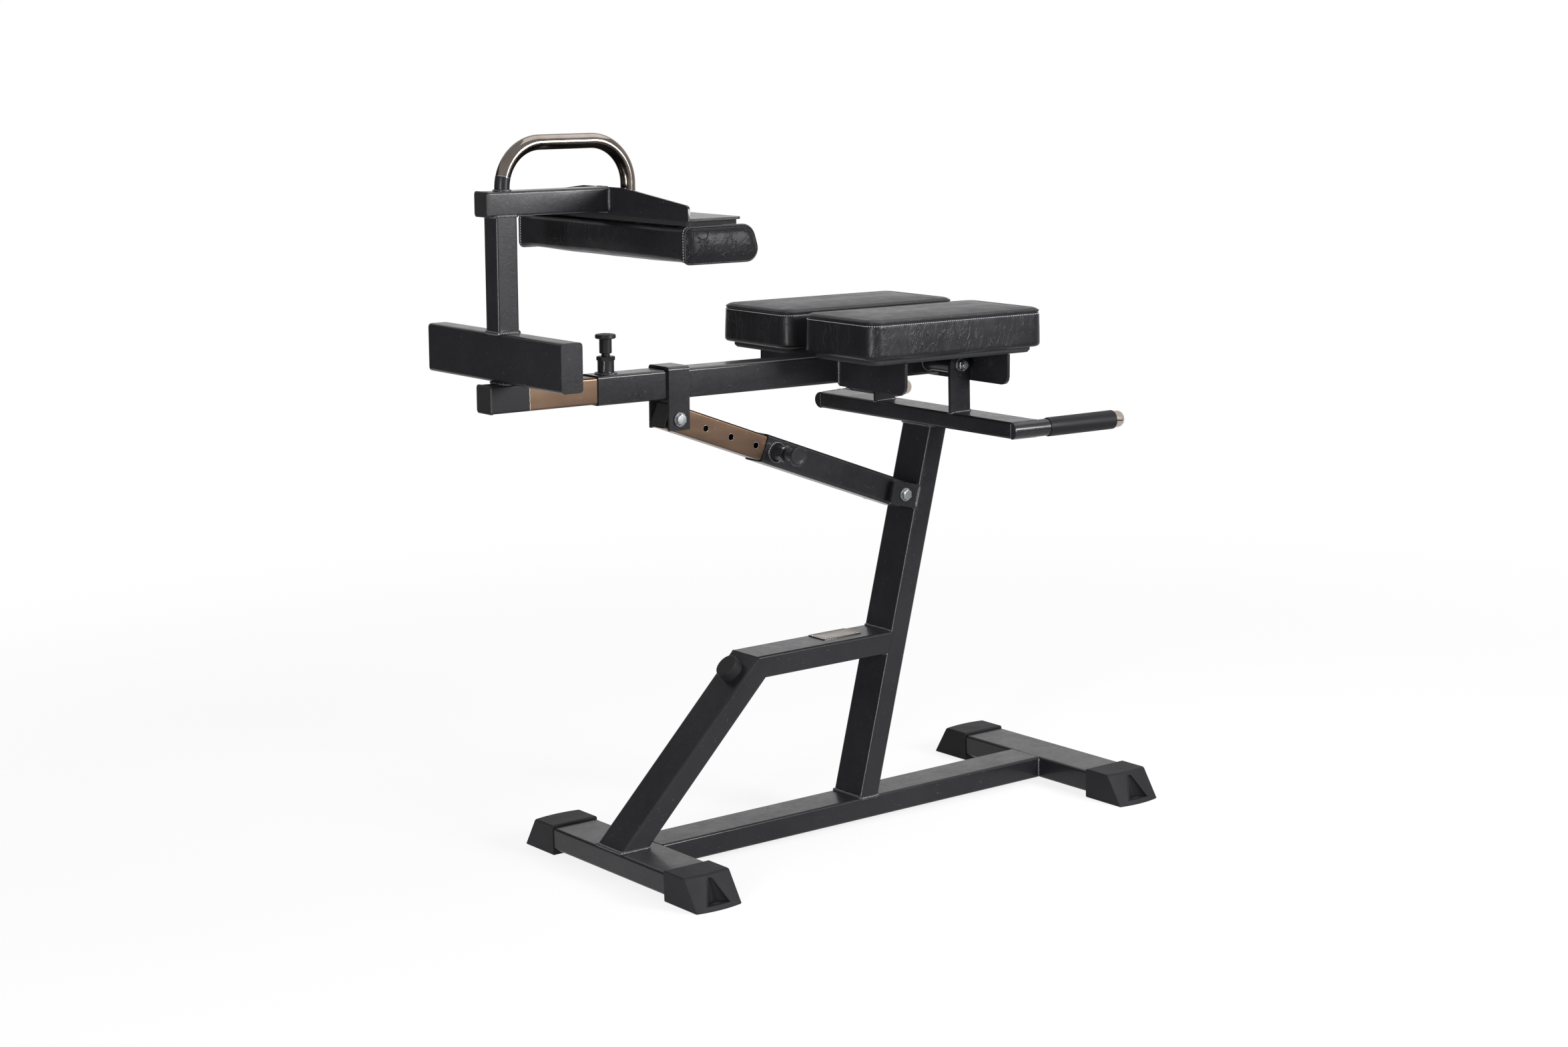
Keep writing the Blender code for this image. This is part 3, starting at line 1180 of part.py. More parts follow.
def build_strut(strut, sleeve, bolt_reach):
    """Telescopic strut: a plated inner tube with holes in an outer sleeve."""
    mesh = square_tube(
        "strut_inner", STRUT_INNER_SIZE, STRUT_INNER_SIZE, INNER_CORNER, INNER_WALL,
        -STRUT_INNER_LEAD, STRUT_INNER_REACH,
    )
    inner = add_piece("strut_inner", mesh, "plated_steel", strut)
    drill(inner, PIVOT_BOLT_RADIUS + BOLT_PLAY, 2 * STRUT_SIZE, (0.0, 0.0, 0.0), TO_LEFT)
    for count in reversed(range(len(STRUT_HOLE_STEPS) + 1)):
        place = STRUT_PIN - sum(STRUT_HOLE_STEPS[:count])
        hole = (place, -STRUT_INNER_SIZE / 2, 0.0)
        drill(inner, PIN_RADIUS + BOLT_PLAY, STRUT_INNER_SIZE / 2, hole, TO_RIGHT)

    mesh = square_tube(
        "strut_sleeve", STRUT_SIZE, STRUT_SIZE, BEAM_CORNER, BEAM_WALL,
        SLEEVE_FRONT, bolt_reach + SLEEVE_TAIL, 0.0, SLEEVE_TAIL_SLOPE,
    )
    outer = add_piece("strut_sleeve", mesh, "powder_coat", sleeve)
    pin_hole = (STRUT_PIN, -HALF_STRUT, 0.0)
    drill(outer, PIN_RADIUS + BOLT_PLAY, STRUT_INNER_SIZE / 2, pin_hole, TO_RIGHT)
    slot = plate("sleeve_slot", slot_outline(), -STRUT_SIZE, STRUT_SIZE, "Y")
    cut(outer, slot, (bolt_reach, 0.0, 0.0))


def slot_outline():
    """Slot round the lug bolt, along the line that the bolt takes in the sleeve."""
    low = Vector(SLOT_DOWN)
    high = Vector(SLOT_UP)
    lean = math.degrees(math.atan2(high.y - low.y, high.x - low.x))
    outline = arc(high, SLOT_RADIUS, lean - 90, lean + 90, 8)
    outline += arc(low, SLOT_RADIUS, lean + 90, lean + 270, 8)
    return outline


def build_bench():
    """Build the frame, then the beam, the carriage and the strut on their joint axes."""
    clear_scene()
    bench = add_axis("bench_origin", None, (-MIDDLE_X, 0.0, 0.0))
    build_base(bench)
    build_feet(bench)
    build_brace(bench)
    build_column(bench)
    build_handles(bench)
    build_hip_pivot(bench)
    build_lugs(bench)

    pivot = Vector((PIVOT_X, 0.0, PIVOT_HEIGHT))
    beam = add_axis("beam_axis", bench, pivot, (0.0, BEAM_TILT, 0.0))
    build_beam(beam)
    build_pad_brackets(beam)
    build_hip_pads(beam)
    upright = (0.0, 0.0, 0.0)
    pin_seat = (BEAM_PIN, 0.0, HALF_BEAM)
    build_spring_pin("beam_pin", beam, beam, pin_seat, upright, BEAM_WALL)

    carriage = add_axis("carriage_axis", beam)
    build_carriage(carriage)
    build_ankle_pad(carriage)
    build_grab_loop(carriage)

    strap_bolt = pivot + turn_about_y(Vector((STRAP_CENTRE, 0.0, -STRUT_DROP)), BEAM_TILT)
    reach = lug_centre() - strap_bolt
    slope = math.atan2(-reach.z, reach.x)
    strap_seat = (STRAP_CENTRE, 0.0, -STRUT_DROP)
    strut = add_axis("strut_axis", beam, strap_seat, (0.0, slope - BEAM_TILT, 0.0))
    sleeve = add_axis("sleeve_axis", strut)
    build_strut(strut, sleeve, reach.length)
    pin_seat = (STRUT_PIN, -HALF_STRUT, 0.0)
    build_spring_pin("strut_pin", sleeve, sleeve, pin_seat, TO_RIGHT, BEAM_WALL)


def turn_about_y(point, angle):
    """Turn a point about the Y axis."""
    cosine = math.cos(angle)
    sine = math.sin(angle)
    return Vector((point.x * cosine + point.z * sine, point.y, point.z * cosine - point.x * sine))


build_bench()
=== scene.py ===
"""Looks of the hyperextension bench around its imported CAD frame."""

import json
import math

import bmesh
import bpy
import numpy as np
from mathutils import Matrix, Vector, noise
from mathutils.bvhtree import BVHTree

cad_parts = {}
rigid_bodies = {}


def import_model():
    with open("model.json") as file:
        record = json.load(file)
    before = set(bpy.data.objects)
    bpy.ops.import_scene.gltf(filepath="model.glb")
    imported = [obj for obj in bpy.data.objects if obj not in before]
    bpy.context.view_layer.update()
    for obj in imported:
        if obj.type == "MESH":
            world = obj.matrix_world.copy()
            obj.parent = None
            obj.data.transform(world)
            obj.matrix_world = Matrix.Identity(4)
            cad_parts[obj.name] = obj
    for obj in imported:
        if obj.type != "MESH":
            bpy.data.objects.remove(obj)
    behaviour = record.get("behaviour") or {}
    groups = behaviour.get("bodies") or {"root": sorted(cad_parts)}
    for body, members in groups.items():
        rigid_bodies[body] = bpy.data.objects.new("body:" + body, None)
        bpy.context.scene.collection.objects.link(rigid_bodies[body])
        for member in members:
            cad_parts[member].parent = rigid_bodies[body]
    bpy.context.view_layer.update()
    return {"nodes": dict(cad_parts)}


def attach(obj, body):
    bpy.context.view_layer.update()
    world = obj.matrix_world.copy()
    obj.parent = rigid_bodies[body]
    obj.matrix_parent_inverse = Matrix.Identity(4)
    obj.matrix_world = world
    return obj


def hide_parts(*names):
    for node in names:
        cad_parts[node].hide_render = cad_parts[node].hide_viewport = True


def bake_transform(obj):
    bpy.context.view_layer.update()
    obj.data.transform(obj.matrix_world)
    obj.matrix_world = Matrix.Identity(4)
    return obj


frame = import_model()
nodes = frame["nodes"]

# Places of the joint frames, as in the CAD source
BEAM_ORIGIN = Vector((0.290679, 0.0, 0.826))
BEAM_X = Vector((0.999722, 0.0, -0.02356))
BEAM_Z = Vector((0.02356, 0.0, 0.999722))
STRUT_ORIGIN = Vector((-0.26007, 0.0, 0.779463))
STRUT_X = Vector((0.931419, 0.0, -0.36395))
STRUT_Z = Vector((0.36395, 0.0, 0.931419))
LUG_BOLT = Vector((0.217249, 0.0, 0.592951))
COLUMN_FOOT = Vector((0.10348, 0.0, 0.05))
LEAN = math.radians(14.8)
COLUMN_UP = Vector((math.sin(LEAN), 0.0, math.cos(LEAN)))
COLUMN_OUT = Vector((-math.cos(LEAN), 0.0, math.sin(LEAN)))
HANDLE_X = 0.26818
HANDLE_Y = 0.272
SPLAY = math.radians(6.5)
LEFT = Vector((0.0, 1.0, 0.0))
UP = Vector((0.0, 0.0, 1.0))
SIDES = (("right", -1), ("left", 1))

# Places along the beam and the strut, and how far out their tubes' faces lie, in their own frames
BEAM_PIN_X = -0.6765
BEAM_HOLE_PITCH = 0.030
LOOP_FRONT = -0.8700
LOOP_REAR = -0.6275
STRUT_PIN_X = 0.2210
STRUT_HOLES = (0.063, 0.119, 0.175)
TUBE_FACE = 0.0256
INNER_FACE = 0.02252


def on_beam(x, y, z):
    """World place of a point on the beam or the carriage."""
    return BEAM_ORIGIN + BEAM_X * x + LEFT * y + BEAM_Z * z


def on_strut(x, y, z):
    """World place of a point on the strut."""
    return STRUT_ORIGIN + STRUT_X * x + LEFT * y + STRUT_Z * z


def on_handle(side, along, out, z):
    """World place along a splayed handle, out from its axis, at a height."""
    x = HANDLE_X + along * math.cos(SPLAY) - out * math.sin(SPLAY)
    y = HANDLE_Y + along * math.sin(SPLAY) + out * math.cos(SPLAY)
    return Vector((x, side * y, z))


def on_column(up, y, out):
    """World place of a point on the column, out of its front face."""
    return COLUMN_FOOT + COLUMN_UP * up + LEFT * y + COLUMN_OUT * out


# ---- materials


def add_node(tree, kind, inputs, **settings):
    """New node with its settings, and its inputs set to values or linked to sockets."""
    node = tree.nodes.new(kind)
    for name, value in settings.items():
        setattr(node, name, value)
    for key, value in inputs.items():
        if isinstance(value, bpy.types.NodeSocket):
            tree.links.new(value, node.inputs[key])
        else:
            node.inputs[key].default_value = value
    return node


class Surface:
    """A Principled material and short helpers for its nodes."""

    def __init__(self, name, roughness=0.5, metallic=0.0, specular=0.5):
        self.material = bpy.data.materials.new(name)
        self.material.use_nodes = True
        self.tree = self.material.node_tree
        self.shader = self.tree.nodes["Principled BSDF"]
        self.shader.inputs["Roughness"].default_value = roughness
        self.shader.inputs["Metallic"].default_value = metallic
        self.shader.inputs["Specular IOR Level"].default_value = specular
        self.texture_place = self.tree.nodes.new("ShaderNodeTexCoord").outputs
        self.coords = self.texture_place["Object"]
        self.normal = None

    def node(self, kind, inputs, **settings):
        return add_node(self.tree, kind, inputs, **settings)

    def mapped(self, scale, rotation=(0.0, 0.0, 0.0), vector=None):
        inputs = {"Scale": scale, "Rotation": rotation, "Vector": vector or self.coords}
        return self.node("ShaderNodeMapping", inputs).outputs["Vector"]

    def noise(self, scale, detail=2.0, rough=0.5, distortion=0.0, vector=None):
        inputs = {
            "Scale": scale, "Detail": detail, "Roughness": rough, "Distortion": distortion,
            "Vector": vector or self.coords,
        }
        return self.node("ShaderNodeTexNoise", inputs).outputs["Fac"]

    def cells(self, scale):
        """Distance to the middles of rounded cells."""
        inputs = {"Vector": self.coords, "Scale": scale}
        return self.node("ShaderNodeTexVoronoi", inputs, feature="SMOOTH_F1").outputs["Distance"]

    def remap(self, value, low, high, to_low, to_high):
        inputs = {"Value": value, 1: low, 2: high, 3: to_low, 4: to_high}
        return self.node("ShaderNodeMapRange", inputs).outputs["Result"]

    def math(self, kind, a, b=0.0):
        return self.node("ShaderNodeMath", {0: a, 1: b}, operation=kind).outputs["Value"]

    def mix(self, factor, a, b):
        ends = [(*end, 1.0) if isinstance(end, tuple) else end for end in (a, b)]
        inputs = {"Factor": factor, 6: ends[0], 7: ends[1]}
        return self.node("ShaderNodeMix", inputs, data_type="RGBA").outputs[2]

    def bump(self, height, strength, distance):
        inputs = {"Strength": strength, "Distance": distance, "Height": height}
        if self.normal is not None:
            inputs["Normal"] = self.normal
        self.normal = self.node("ShaderNodeBump", inputs).outputs["Normal"]

    def set(self, colour, roughness=None, metallic=None):
        sockets = {"Base Color": colour, "Roughness": roughness, "Metallic": metallic, "Normal": self.normal}
        for name, value in sockets.items():
            if value is not None:
                self.tree.links.new(value, self.shader.inputs[name])
        return self.material

    def part(self, place, axis):
        """One coordinate of a place or direction."""
        return self.node("ShaderNodeSeparateXYZ", {"Vector": place}).outputs[axis]


POWDER_DARK = (0.0065, 0.0065, 0.0080)
POWDER_LIGHT = (0.0115, 0.0115, 0.0135)
TUBE_DARK = (0.092, 0.058, 0.040)
TUBE_LIGHT = (0.122, 0.080, 0.055)


def powder_coat():
    """Fine-grained satin powder coat under a thin clear layer that sharpens the light on edges."""
    surface = Surface("powder_coat", specular=0.12)
    surface.shader.inputs["Coat Weight"].default_value = 0.25
    surface.shader.inputs["Coat Roughness"].default_value = 0.11
    wide = surface.noise(7.0, 5.0, 0.65)
    specks = surface.remap(surface.noise(260.0, 1.0), 0.73, 0.79, 0.0, 0.6)
    tone = surface.mix(surface.remap(wide, 0.3, 0.7, 0.0, 1.0), POWDER_DARK, POWDER_LIGHT)
    surface.bump(surface.noise(750.0, 3.0, 0.6), 0.4, 0.00035)
    surface.bump(surface.noise(170.0, 3.0, 0.6), 0.22, 0.0009)
    mottle = surface.math("ADD", surface.noise(85.0, 3.0, 0.7), surface.noise(19.0, 3.0, 0.6))
    colour = surface.mix(specks, tone, (0.07, 0.07, 0.072))
    return surface.set(colour, surface.remap(mottle, 0.7, 1.3, 0.27, 0.42))


def bead_paint():
    """Smoother and glossier powder coat of the weld beads."""
    surface = Surface("bead_paint", specular=0.5)
    wide = surface.noise(60.0, 3.0, 0.6)
    colour = surface.mix(wide, (0.014, 0.014, 0.015), (0.032, 0.032, 0.034))
    surface.bump(surface.noise(420.0, 3.0, 0.6), 0.3, 0.0006)
    return surface.set(colour, surface.remap(wide, 0.3, 0.7, 0.16, 0.30))


def plated_parts(surface):
    """Colour and roughness of plated steel: cloudy, with a few light specks."""
    clouds = surface.noise(9.0, 3.0, 0.5)
    specks = surface.remap(surface.noise(190.0, 2.0, 0.5), 0.72, 0.80, 0.0, 0.3)
    tone = surface.mix(surface.remap(clouds, 0.32, 0.68, 0.0, 1.0), TUBE_DARK, TUBE_LIGHT)
    colour = surface.mix(specks, tone, (0.50, 0.44, 0.39))
    haze = surface.noise(1.0, 3.0, 0.5, vector=surface.mapped((5.0, 60.0, 60.0)))
    return colour, surface.remap(haze, 0.3, 0.7, 0.30, 0.34)


def half_painted(name, metal, past_edge):
    """Plated steel painted black past a slightly wavy edge, with bare chips along it."""
    surface = Surface(name, specular=0.15)
    colour, roughness = metal(surface)
    wave = surface.math("MULTIPLY", surface.noise(60.0, 4.0, 0.65), 0.005)
    place = surface.math("ADD", past_edge(surface), wave)
    mask = surface.remap(place, 0.0022, 0.0030, 0.0, 1.0)
    chips = surface.remap(place, 0.0015, 0.0023, 0.0, 0.55)
    paint = surface.mix(surface.noise(5.0, 3.0), POWDER_DARK, POWDER_LIGHT)
    edged = surface.mix(chips, colour, (0.62, 0.58, 0.54))
    return surface.set(
        surface.mix(mask, edged, paint),
        surface.math("ADD", roughness, surface.math("MULTIPLY", mask, 0.20)),
        surface.math("SUBTRACT", 1.0, mask),
    )


def loop_parts(surface):
    """Colour and roughness of the bent tube: smoother and more silver than the square ones."""
    clouds = surface.noise(24.0, 3.0, 0.55, 0.5)
    tone = surface.remap(clouds, 0.32, 0.68, 0.0, 1.0)
    colour = surface.mix(tone, (0.105, 0.090, 0.079), (0.155, 0.134, 0.119))
    return colour, surface.remap(surface.noise(60.0, 3.0), 0.3, 0.7, 0.10, 0.14)


def plated_tube():
    surface = Surface("plated_tube", metallic=1.0)
    return surface.set(*plated_parts(surface))


def bright_metal(name, light, dark, low, high, scale=45.0):
    surface = Surface(name, metallic=1.0)
    cloud = surface.noise(scale, 4.0, 0.65, 0.3)
    surface.bump(surface.noise(380.0, 2.0), 0.08, 0.0003)
    return surface.set(surface.mix(cloud, dark, light), surface.remap(cloud, 0.3, 0.7, low, high))


def rubber(name, dark, light, low, high, grain, depth):
    surface = Surface(name, specular=0.12)
    cloud = surface.noise(18.0, 4.0, 0.6)
    surface.bump(surface.noise(grain, 3.0, 0.6), 0.4, depth)
    return surface.set(surface.mix(cloud, dark, light), surface.remap(cloud, 0.3, 0.7, low, high))


def vinyl(name, lean, wrinkle, density=1.0, specular=0.14):
    """Leather-grained black vinyl; its sides are creased by thin lines that lean over."""
    surface = Surface(name, specular=specular)
    wide = surface.remap(surface.noise(9.0, 3.0, 0.6), 0.3, 0.7, 0.0, 1.0)
    colour = surface.mix(wide, (0.0060, 0.0060, 0.0070), (0.0100, 0.0100, 0.0114))
    surface.bump(surface.cells(560.0), 0.22, 0.0006)
    facing = surface.math("ABSOLUTE", surface.part(surface.texture_place["Normal"], "Z"))
    upright = surface.remap(facing, 0.35, 0.75, 1.0, 0.12)
    flow = surface.mapped((1.0, 1.0, 0.33), vector=surface.mapped((1.0, 1.0, 1.0), (0.0, lean, 0.0)))
    for scale, width, low, high, strength, depth in (
        (88.0, 0.030, 0.34, 0.60, 0.50, 0.0006),
        (46.0, 0.014, 0.44, 0.62, 0.90, 0.0010),
    ):
        field = surface.noise(scale * density, 2.5, 0.55, 0.35, flow)
        off = surface.math("ABSOLUTE", surface.math("SUBTRACT", field, 0.5))
        line = surface.remap(off, 0.0, width, 1.0, 0.0)
        patch = surface.remap(surface.noise(scale * 0.16, 2.0), low, high, 0.0, 1.0)
        ridge = surface.math("MULTIPLY", surface.math("MULTIPLY", line, patch), upright)
        surface.bump(ridge, strength * wrinkle, depth)
    roughness = surface.remap(surface.noise(30.0, 4.0, 0.65), 0.3, 0.7, 0.29, 0.39)
    return surface.set(colour, roughness)


def thread_cord():
    surface = Surface("stitch_thread", roughness=0.7)
    twist = surface.noise(900.0, 2.0)
    surface.bump(twist, 0.3, 0.0002)
    return surface.set(surface.mix(twist, (0.40, 0.40, 0.42), (0.64, 0.64, 0.66)))


def board_cover():
    surface = Surface("board_cover", specular=0.25)
    weave = surface.noise(500.0, 2.0)
    surface.bump(weave, 0.3, 0.0003)
    return surface.set(
        surface.mix(surface.noise(12.0, 4.0), (0.008, 0.008, 0.009), (0.016, 0.016, 0.017)),
        surface.remap(weave, 0.3, 0.7, 0.70, 0.88),
    )


# World X at which the bare part of the sliding beam ends and its painted end starts
BEAM_PAINT_EDGE = -0.5485

PAINT = powder_coat()
BEAD = bead_paint()
STRUT_PLATE = plated_tube()
BEAM_PLATE = half_painted(
    "plated_beam", plated_parts,
    lambda surface: surface.math("SUBTRACT", BEAM_PAINT_EDGE, surface.part(surface.coords, "X")),
)


def below_loop_edge(surface):
    """How far a point lies below the paint's edge on the loop's front leg; less than zero elsewhere."""
    x = surface.part(surface.coords, "X")
    height = surface.math("ADD", surface.part(surface.coords, "Z"), surface.remap(x, -0.50, -0.49, 0.0, 1.0))
    return surface.math("SUBTRACT", surface.remap(x, -0.60, -0.55, 1.2120, 1.1980), height)


LOOP_PLATE = half_painted("plated_loop", loop_parts, below_loop_edge)
ZINC = bright_metal("zinc_plate", (0.32, 0.33, 0.34), (0.18, 0.19, 0.20), 0.24, 0.38)
CHROME = bright_metal("chrome_cap", (0.48, 0.42, 0.38), (0.34, 0.29, 0.25), 0.08, 0.18)
BRONZE = bright_metal("bronze_bush", (0.42, 0.28, 0.17), (0.24, 0.16, 0.10), 0.30, 0.45)
BADGE = bright_metal("badge_steel", (0.26, 0.225, 0.20), (0.15, 0.13, 0.115), 0.20, 0.34, 25.0)
SPRING = bright_metal("spring_wire", (0.45, 0.45, 0.46), (0.28, 0.28, 0.29), 0.25, 0.40)
FOOT = rubber("foot_rubber_skin", (0.0075, 0.0075, 0.0088), (0.015, 0.015, 0.0165), 0.50, 0.64, 520.0, 0.0006)
BUMPER = rubber("bumper_rubber", (0.008, 0.008, 0.009), (0.015, 0.015, 0.016), 0.50, 0.64, 460.0, 0.0004)
GRIP = rubber("grip_foam", (0.004, 0.004, 0.005), (0.008, 0.008, 0.009), 0.42, 0.54, 640.0, 0.0005)
PLASTIC = rubber("moulded_plastic", (0.010, 0.010, 0.011), (0.018, 0.018, 0.019), 0.34, 0.46, 700.0, 0.0003)
HIP_VINYL = vinyl("vinyl_hip", -0.30, 0.55)
ANKLE_VINYL = vinyl("vinyl_ankle", -0.42, 0.4)
PANEL_VINYL = vinyl("vinyl_panel", -0.75, 1.9, 0.80, 0.07)
THREAD = thread_cord()
BOARD = board_cover()

FINISH_OF_SLOT = {
    "painted_frame": PAINT, "plated_steel": STRUT_PLATE, "zinc_steel": ZINC, "spring_steel": SPRING,
    "bright_chrome": CHROME, "foot_rubber": FOOT, "grip_rubber": GRIP, "knob_plastic": PLASTIC,
    "cap_plastic": PLASTIC, "pad_board": BOARD, "pad_vinyl": HIP_VINYL,
}
for name, node in nodes.items():
    for slot in node.material_slots:
        slot.material = FINISH_OF_SLOT[slot.material.name.split(".")[0]]
nodes["inner_beam"].material_slots[0].material = BEAM_PLATE
nodes["stop_bumper"].material_slots[0].material = BUMPER


SMOOTHING_ANGLE = math.radians(38.0)


def smooth_shading(node):
    """Set corner normals that round off shallow edges and keep flat faces flat."""
    mesh = node.data
    groups = {}
    for face in mesh.polygons:
        for corner in face.loop_indices:
            place = mesh.vertices[mesh.loops[corner].vertex_index].co
            key = tuple(round(value * 1e5) for value in place)
            groups.setdefault(key, []).append((corner, face.normal.copy(), face.area))
    limit = math.cos(SMOOTHING_ANGLE)
    normals = [None] * len(mesh.loops)
    for members in groups.values():
        for corner, direction, _area in members:
            total = Vector()
            for _corner, other, area in members:
                if other.dot(direction) > limit:
                    total += other * area
            normals[corner] = total.normalized()
    mesh.shade_smooth()
    mesh.normals_split_custom_set(normals)


for name, node in nodes.items():
    if not name.endswith("_spring"):
        smooth_shading(node)


# ---- mesh helpers


def add_object(name, data):
    """New object in the scene's collection."""
    item = bpy.data.objects.new(name, data)
    bpy.context.scene.collection.objects.link(item)
    return item


def mesh_object(name, points, faces, material=None):
    """Mesh object from points and faces."""
    mesh = bpy.data.meshes.new(name)
    mesh.from_pydata([tuple(p) for p in points], [], faces)
    if material is not None:
        mesh.materials.append(material)
    return add_object(name, mesh)


def turn_faces_out(mesh):
    builder = bmesh.new()
    builder.from_mesh(mesh)
    bmesh.ops.recalc_face_normals(builder, faces=builder.faces)
    builder.to_mesh(mesh)
    builder.free()


def add_mesh(name, points, faces, material, body, slot, angle=40.0):
    """Make a piece from points and faces in world places, and let it ride on its body."""
    piece = mesh_object(name, points, faces, material)
    turn_faces_out(piece.data)
    piece.data.shade_smooth()
    piece.data.set_sharp_from_angle(angle=math.radians(angle))
    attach(piece, body)
    return piece


def ring_faces(rows, count, start=0, closed=False):
    """Faces between rows of points with the same count, and over the two ends of an open piece."""
    faces = []
    last = rows if closed else rows - 1
    for row in range(last):
        low = start + row * count
        high = start + ((row + 1) % rows) * count
        for index in range(count):
            after = (index + 1) % count
            faces.append((low + index, low + after, high + after, high + index))
    if not closed:
        faces.append(tuple(range(start, start + count)))
        faces.append(tuple(range(start + (rows - 1) * count, start + rows * count)))
    return faces


def resample(points, closed, step=None, count=None):
    """Points at equal steps along a polyline, about a step long or of a given count."""
    points = [Vector(p) for p in points]
    if closed:
        points.append(points[0])
    lengths = [0.0]
    for a, b in zip(points, points[1:]):
        lengths.append(lengths[-1] + (b - a).length)
    count = count or max(2, round(lengths[-1] / step))
    result = []
    index = 0
    for number in range(count if closed else count + 1):
        place = lengths[-1] * number / count
        while index < len(lengths) - 2 and lengths[index + 1] < place:
            index += 1
        span = lengths[index + 1] - lengths[index]
        share = (place - lengths[index]) / span if span > 0 else 0.0
        result.append(points[index].lerp(points[index + 1], share))
    return result


def sweep(path, radii, sides, closed=False, start=0):
    """Points and faces of a round tube along a path, with one radius or a list of one for each point."""
    if not isinstance(radii, list):
        radii = [radii] * len(path)
    points = []
    count = len(path)
    side = None
    for index, point in enumerate(path):
        before = path[index - 1] if (closed or index > 0) else path[0]
        after = path[(index + 1) % count] if (closed or index < count - 1) else path[-1]
        tangent = (after - before).normalized()
        if side is None:
            side = tangent.orthogonal().normalized()
        side = (side - tangent * side.dot(tangent)).normalized()
        up = tangent.cross(side)
        for step in range(sides):
            angle = 2 * math.pi * step / sides
            points.append(point + (side * math.cos(angle) + up * math.sin(angle)) * radii[index])
    return points, ring_faces(count, sides, start, closed)


def rounded(x0, x1, y0, y1, corner, steps=3):
    """Outline of a rectangle with round corners."""
    outline = []
    for cx, cy, start in (
        (x1 - corner, y1 - corner, 0), (x0 + corner, y1 - corner, 90),
        (x0 + corner, y0 + corner, 180), (x1 - corner, y0 + corner, 270),
    ):
        for step in range(steps + 1):
            angle = math.radians(start + 90 * step / steps)
            outline.append((cx + corner * math.cos(angle), cy + corner * math.sin(angle)))
    return outline


def lathe(name, profile, sides, place, axis, material, body, slot, angle=40.0):
    """Turned piece: radius and height pairs about an axis through a place."""
    side = axis.orthogonal().normalized()
    up = axis.cross(side)
    points = []
    for radius, height in profile:
        for step in range(sides):
            turn = 2 * math.pi * step / sides
            points.append(place + axis * height + (side * math.cos(turn) + up * math.sin(turn)) * radius)
    return add_mesh(name, points, ring_faces(len(profile), sides), material, body, slot, angle)


# ---- cushions


CLOTH = {
    "quality": 6, "mass": 0.25, "tension_stiffness": 25, "compression_stiffness": 25, "shear_stiffness": 12,
    "bending_stiffness": 3, "air_damping": 2, "use_pressure": True, "uniform_pressure_force": 4.0,
    "vertex_group_mass": "held",
}
CLOTH_VOXEL = 0.005
CLOTH_FRAMES = 20


def inflate(name, rings, held, cap):
    """Blow a closed loft up as cloth, no point further than a cap, and return it as a tree of faces."""
    shape = mesh_object(name, *loft(rings))
    turn_faces_out(shape.data)
    remesh = shape.modifiers.new("remesh", "REMESH")
    remesh.mode = "VOXEL"
    remesh.voxel_size = CLOTH_VOXEL
    graph = bpy.context.evaluated_depsgraph_get()
    fresh = bpy.data.meshes.new_from_object(shape.evaluated_get(graph))
    shape.modifiers.clear()
    shape.data = fresh
    rest = np.array([v.co for v in fresh.vertices])
    moved = rest
    group = shape.vertex_groups.new(name="held")
    for index, place in enumerate(rest):
        weight = held(place)
        if weight > 0:
            group.add([index], weight, "REPLACE")
    settings = shape.modifiers.new("cloth", "CLOTH").settings
    for key, value in CLOTH.items():
        setattr(settings, key, value)
    settings.effector_weights.gravity = 0.0
    scene = bpy.context.scene
    for number in range(1, CLOTH_FRAMES + 1):
        scene.frame_set(number)
    graph = bpy.context.evaluated_depsgraph_get()
    moved = np.array([v.co for v in shape.evaluated_get(graph).data.vertices])
    step = moved - rest
    length = np.linalg.norm(step, axis=1, keepdims=True)
    moved = rest + step * np.minimum(1.0, cap / np.maximum(length, 1e-9))
    scene.frame_set(1)
    polygons = [tuple(p.vertices) for p in fresh.polygons]
    bpy.data.objects.remove(shape, do_unlink=True)
    return BVHTree.FromPolygons([Vector(p) for p in moved], polygons)


def loft(rings):
    """Points and faces of a closed loft through rings."""
    points = [p for ring in rings for p in ring]
    return points, ring_faces(len(rings), len(rings[0]))


PAD_LENGTH = 0.3903
PAD_WIDTH = 0.202
PAD_FRONT = -0.287
PAD_INNER = 0.020
PAD_BASE = 0.0356
PAD_CORNER = 0.026
PAD_POINTS = 340
SEAM_HEIGHT = 0.0600
CROWN_HEIGHT = 0.0725


def pad_level(height, inset):
    """Outline of the hip cushion at a height, always with the same count of points."""
    half_x = PAD_LENGTH / 2 - inset
    half_y = PAD_WIDTH / 2 - inset
    corner = max(PAD_CORNER - inset, 0.004)
    outline = [Vector((x, y, 0.0)) for x, y in rounded(-half_x, half_x, -half_y, half_y, corner, 8)]
    return [Vector((p.x, p.y, height)) for p in resample(outline, True, count=PAD_POINTS)]


def outward_normals(path, axis, centre):
    """Normals of a closed path round an axis, away from its centre."""
    normals = []
    for index, point in enumerate(path):
        along = (path[(index + 1) % len(path)] - path[index - 1]).normalized()
        normal = along.cross(axis).normalized()
        normals.append(normal if normal.dot(point - centre) > 0 else -normal)
    return normals


STITCH_LENGTH = 0.0027
STITCH_GAP = 0.0016
# Share of a stitch's length, and height and radius in thread radii
STITCH_SHAPE = (
    (0.0, -1.1, 0.55), (0.16, 0.25, 0.95), (0.5, 0.55, 1.0), (0.84, 0.25, 0.95), (1.0, -1.1, 0.55),
)


